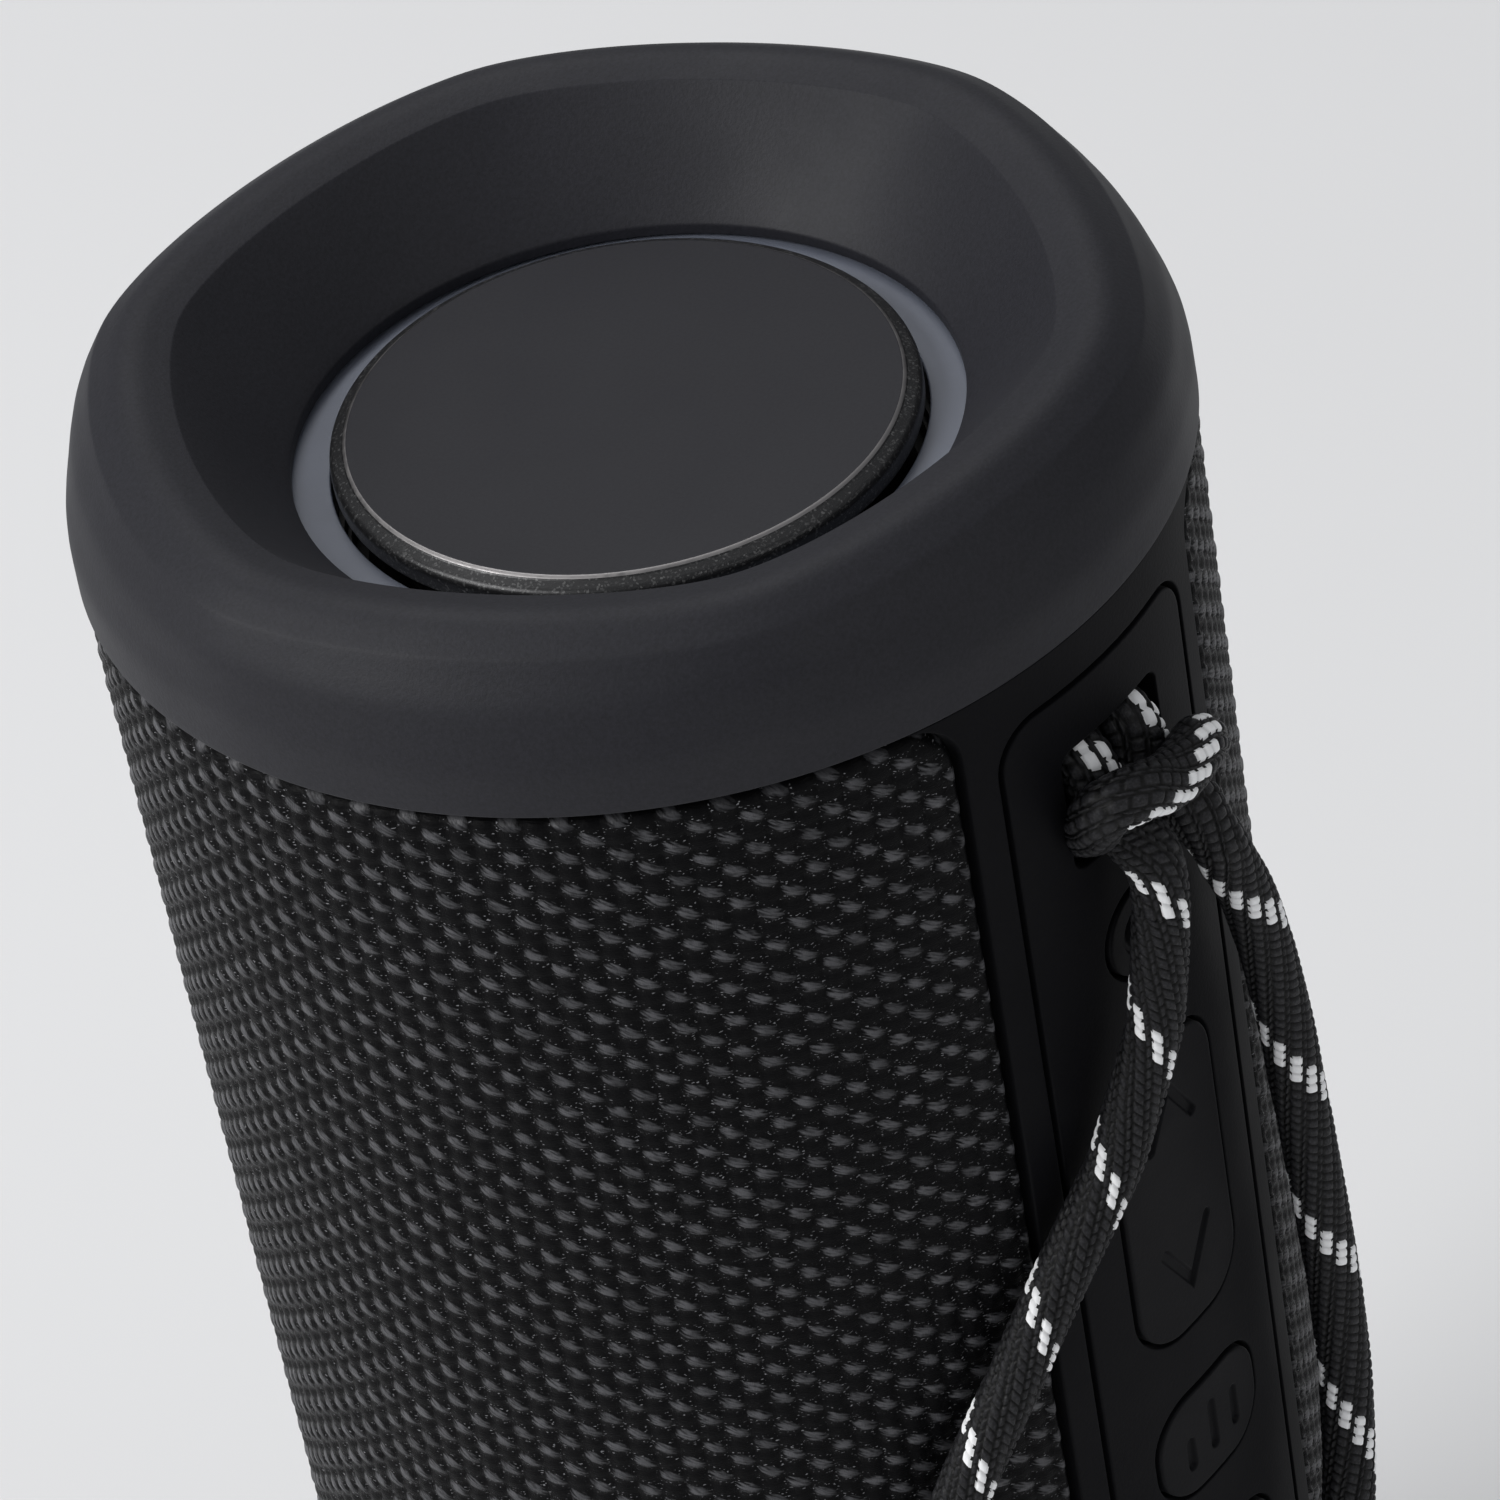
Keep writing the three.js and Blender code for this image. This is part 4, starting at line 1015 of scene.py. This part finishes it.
class Plate:
    """A closed curved plate with rounded edges, holes and raised marks."""

    def __init__(self, face_r, back_r, lip=0.3):
        self.face_r, self.back_r, self.lip = face_r, back_r, lip
        self.points, self.faces, self.count = [], [], 0
        self.face_loops, self.back_loops = [], []

    def add(self, points, faces):
        self.points.append(points)
        self.faces.append(np.asarray(faces) + self.count)
        self.count += len(points)

    def strip(self, rings, outward):
        """Joins rings of points, each one loop, into a band."""
        n = len(rings[0])
        quads = grid_faces(len(rings), n, wrap_columns=True)
        self.add(np.vstack(rings), quads[:, ::-1] if outward else quads)

    def edge(self, loop_at, hole=False):
        """The plate's outline or a hole in it: loop_at(grow) gives its loop."""
        sign = 1 if hole else -1
        rings = [wrapped(loop_at(sign * self.lip * 1.7), self.face_r)]
        self.face_loops.append(loop_at(sign * self.lip * 1.7))
        for t in np.linspace(0, math.pi / 2, 5):
            grow = sign * self.lip * (1 - math.sin(t))
            rings.append(wrapped(loop_at(grow), self.face_r - self.lip * (1 - math.cos(t))))
        rings.append(wrapped(loop_at(0), self.back_r))
        self.back_loops.append(loop_at(0))
        self.strip(rings, not hole)

    def mark(self, loop_at, height, soft=0.16):
        """A mark that stands up from the face by height, with soft edges."""
        rings = [wrapped(loop_at(soft * 1.5), self.face_r)]
        self.face_loops.append(loop_at(soft * 1.5))
        for t in np.linspace(0, 1, 5):
            rise = height * (0.5 - 0.5 * math.cos(math.pi * t))
            rings.append(wrapped(loop_at(soft * (1 - 2 * t)), self.face_r + rise))
        rings.append(wrapped(loop_at(-soft * 1.3), self.face_r + height))
        self.strip(rings, False)
        plane, triangles = filled(loop_at(-soft * 1.3), [])
        self.add(wrapped(plane, self.face_r + height), self.facing(plane, triangles, True))

    @staticmethod
    def facing(plane, triangles, front):
        """Turns each triangle to face -Y, or +Y where front is false."""
        a, b, c = (plane[triangles[:, k]] for k in range(3))
        u, v = b - a, c - a
        turned_right = (u[:, 0] * v[:, 1] - u[:, 1] * v[:, 0] > 0) == front
        return np.where(turned_right[:, None], triangles, triangles[:, ::-1])

    def finish(self, name, look, body, node, slot):
        """Closes the front and back faces and makes the piece."""
        for loops, radius, front in ((self.face_loops, self.face_r, True),
                                     (self.back_loops, self.back_r, False)):
            plane, triangles = filled(loops[0], loops[1:])
            self.add(wrapped(plane, radius), self.facing(plane, triangles, front))
        points, faces = welded(np.vstack(self.points), self.faces)
        seat(make_piece(name, points, faces, [look]), body, slot, node)


SLOT = {"half": 6, "top": below(9.6), "bottom": below(20.4), "corner": 1.2}


def pad_loop(grow):
    return rounded_loop(PAD_HIGH[0], PAD_LOW[2], PAD_HIGH[2], PAD_CORNER, grow)


def slot_loop(grow):
    return rounded_loop(SLOT["half"], SLOT["bottom"], SLOT["top"], SLOT["corner"], grow)


def around(loop_at, gap):
    return lambda grow: loop_at(grow + gap)


def stroke_loop(path, half):
    """A stroke of that half width along a path of two or three points, with round ends."""
    path = np.array(path, float)

    def loop_at(grow):
        w = half + grow
        found = []
        for points in (path, path[::-1]):
            back = points[0] - points[1]
            base = math.atan2(back[1], back[0])
            found += [points[0] + w * unit(base + t)
                      for t in np.linspace(-math.pi / 2, math.pi / 2, 9)]
            for before, here, after in zip(points, points[1:], points[2:]):
                a = (here - before) / np.linalg.norm(here - before)
                b = (after - here) / np.linalg.norm(after - here)
                normal = np.array([-a[1] - b[1], a[0] + b[0]])
                normal /= np.linalg.norm(normal)
                found.append(here - normal * w / max(0.3, normal @ (-a[1], a[0])))
        return np.array(found)

    return loop_at


def arc_loop(centre, radius, start, end, half):
    """A stroke along an arc, with round ends."""
    turns = np.radians(np.linspace(start, end, 21))
    cap = np.linspace(0, math.pi, 9)[1:-1]

    def loop_at(grow):
        w = half + grow
        return centre + np.vstack([
            (radius + w) * unit(turns), radius * unit(turns[-1]) + w * unit(turns[-1] + cap),
            (radius - w) * unit(turns[::-1]), radius * unit(turns[0]) - w * unit(turns[0] + cap)])

    return loop_at


def polygon_loop(corners):
    """A small convex polygon with slightly bowed sides, grown about its middle."""
    corners = np.array(corners, float)
    middle = corners.mean(axis=0)
    bowed = []
    for here, after in zip(corners, np.roll(corners, -1, axis=0)):
        bow = np.array([after[1] - here[1], here[0] - after[0]]) * 0.04
        bowed += [here + (after - here) * t + bow * math.sin(math.pi * t)
                  for t in np.linspace(0, 1, 7)[:-1]]
    out = np.array(bowed) - middle
    long = np.linalg.norm(out, axis=1)[:, None]

    def loop_at(grow):
        return middle + out * (1 + 1.3 * grow / long)

    return loop_at


ICON_DEPTH = 0.38       # how deep the icons are sunk, in mm
STROKE = 0.42           # half width of their strokes
LENS_CORNER = 0.88


def arrowheads(z):
    """The volume rocker's two."""
    return [stroke_loop([(-2.8, z + low), (0, z + tip), (2.8, z + low)], STROKE)
            for low, tip in ((5.6, 10.2), (-5.2, -9.8))]


def level_bars(z):
    """Three bars of an equaliser, for the sound-mode button."""
    return [stroke_loop([(x, z - 2.1), (x, z - 2.1 + high)], STROKE)
            for x, high in ((-3.0, 2.4), (0, 4.2), (3.0, 3.1))]


def play_pause(z):
    return [polygon_loop([(-3.9, z - 2.1), (-0.5, z), (-3.9, z + 2.1)]),
            stroke_loop([(1.4, z - 1.8), (1.4, z + 1.8)], STROKE),
            stroke_loop([(3.5, z - 1.8), (3.5, z + 1.8)], STROKE)]


def power_mark(z):
    return [arc_loop((0, z), 2.0, 125, 415, 0.3), stroke_loop([(0, z + 0.7), (0, z + 2.3)], 0.3)]


def pairing_mark(z):
    """A dot that sends out waves, for the wireless pairing button."""
    return [arc_loop((-1.6, z), 2.0, -42, 42, 0.28), arc_loop((-1.6, z), 3.6, -36, 36, 0.28),
            stroke_loop([(-1.62, z), (-1.58, z)], 0.42)]


BUTTONS = {     # corner radius, body and icons of each
    "power_button": (3.99, "power_key", power_mark),
    "eq_button": (4.2, "eq_key", level_bars),
    "play_button": (4.2, "play_key", play_pause),
    "pairing_button": (3.99, "pairing_key", pairing_mark),
    "volume_rocker": (4.6, "volume_key", arrowheads),
}


def make_panel():
    bezel = Plate(SKIN_R, SKIN_IN, 0.14)
    bezel.edge(panel_loop)
    bezel.edge(around(pad_loop, GROOVE), hole=True)
    bezel.finish("panel_bezel", PANEL_SILICONE_SHADED, "speaker_body", "panel_frame", "silicone_rubber")

    pad = Plate(SKIN_R, SKIN_IN, 0.14)
    pad.edge(pad_loop)
    pad.edge(slot_loop, hole=True)
    openings = [(name, corner, BUTTON_GAP) for name, (corner, _, _) in BUTTONS.items()]
    openings += [("status_lens", LENS_CORNER, 0.3), ("port_cover", 0.9, 0.7)]
    for name, corner, gap in openings:
        pad.edge(around(box_loop(name, corner), gap), hole=True)
    pad.finish("soft_control_pad", PANEL_SILICONE_SHADED, "speaker_body", "control_pad",
               "silicone_rubber")

    for name, (corner, body, icons) in BUTTONS.items():
        low, high = size(name)
        button = Plate(BUTTON_FACE, SKIN_IN - 0.4, 0.22)
        button.edge(box_loop(name, corner))
        for icon in icons((low[2] + high[2]) / 2):
            button.mark(icon, -ICON_DEPTH)
        button.finish(name + "_key", KEY_SILICONE_SHADED, body, name, "silicone_rubber")

    lens = Plate(SKIN_R - 0.05, SKIN_R - 3, 0.2)
    lens.edge(box_loop("status_lens", LENS_CORNER))
    lens.finish("status_light_lens", LENS_DIFFUSER, "speaker_body", "status_lens",
                "light_diffuser")


make_panel()

# ---- CAD pieces that stay, with finishes

FINISHES = {
    "silicone_rubber": PANEL_SILICONE_SHADED, "moulded_plastic": BLACK_PLASTIC, "steel": SATIN_STEEL,
    "surround_rubber": SURROUND_RUBBER, "cone_paper": CONE_PULP, "circuit_board": BOARD,
    "cell_wrap": CELL_WRAP, "light_diffuser": RING_DIFFUSER, "satin_disc": SATIN_FACE,
    "woven_cloth": WEFT_YARN, "braided_rope": ROPE_BLACK,
}
SLOT_OF = {row["node"]: row["material_slot"] for row in frame["record"]["subparts"]}
for node, kept in frame["nodes"].items():
    kept.data.materials.clear()
    kept.data.materials.append(LIGHT_BOARD if node.endswith("light_board")
                               else FINISHES[SLOT_OF[node]])

# ---- floor and light


def make_floor():
    look = Look("pale_floor", (0.76, 0.76, 0.765), 0.7)
    look.tint(look.ramp(look.noise(400), 0.3, 0.7), (0.73, 0.73, 0.735))
    half = 4000
    floor = make_piece("floor", [[-half, -half, 0], [half, -half, 0], [half, half, 0],
                                 [-half, half, 0]], [np.array([[0, 1, 2, 3]])], [look.material])


def area_light(name, place, size_m, power):
    """A soft light aimed at the speaker's middle."""
    data = bpy.data.lights.new(name, "AREA")
    data.shape = "RECTANGLE"
    data.size, data.size_y = size_m
    data.energy = power
    light = bpy.data.objects.new(name, data)
    light.location = place
    light.rotation_euler = (Vector((0, 0, 0.12)) - place).to_track_quat("-Z", "Y").to_euler()
    bpy.context.scene.collection.objects.link(light)


def view_place(right, up, back):
    """A place given as the camera sees it: metres to the right, up, and beyond the speaker."""
    heading = math.radians(AIM["heading"])
    on = Vector((math.sin(heading), math.cos(heading), 0))
    aside = Vector((math.cos(heading), -math.sin(heading), 0))
    return aside * right + on * back + Vector((0, 0, up))


def make_light():
    world = bpy.data.worlds.new("studio")
    world.use_nodes = True
    sky = world.node_tree.nodes["Background"]
    sky.inputs["Color"].default_value = (0.94, 0.96, 1.0, 1)
    sky.inputs["Strength"].default_value = 0.29
    bpy.context.scene.world = world
    area_light("left_softbox", view_place(-1.0, 0.95, -0.3), (0.8, 0.8), 15)
    area_light("right_softbox", view_place(0.8, 0.7, -0.7), (0.5, 0.9), 1.8)
    area_light("top_softbox", view_place(-0.2, 1.7, 0.9), (1.2, 0.8), 11)
    bpy.context.scene.view_settings.view_transform = "Standard"


make_floor()
make_light()
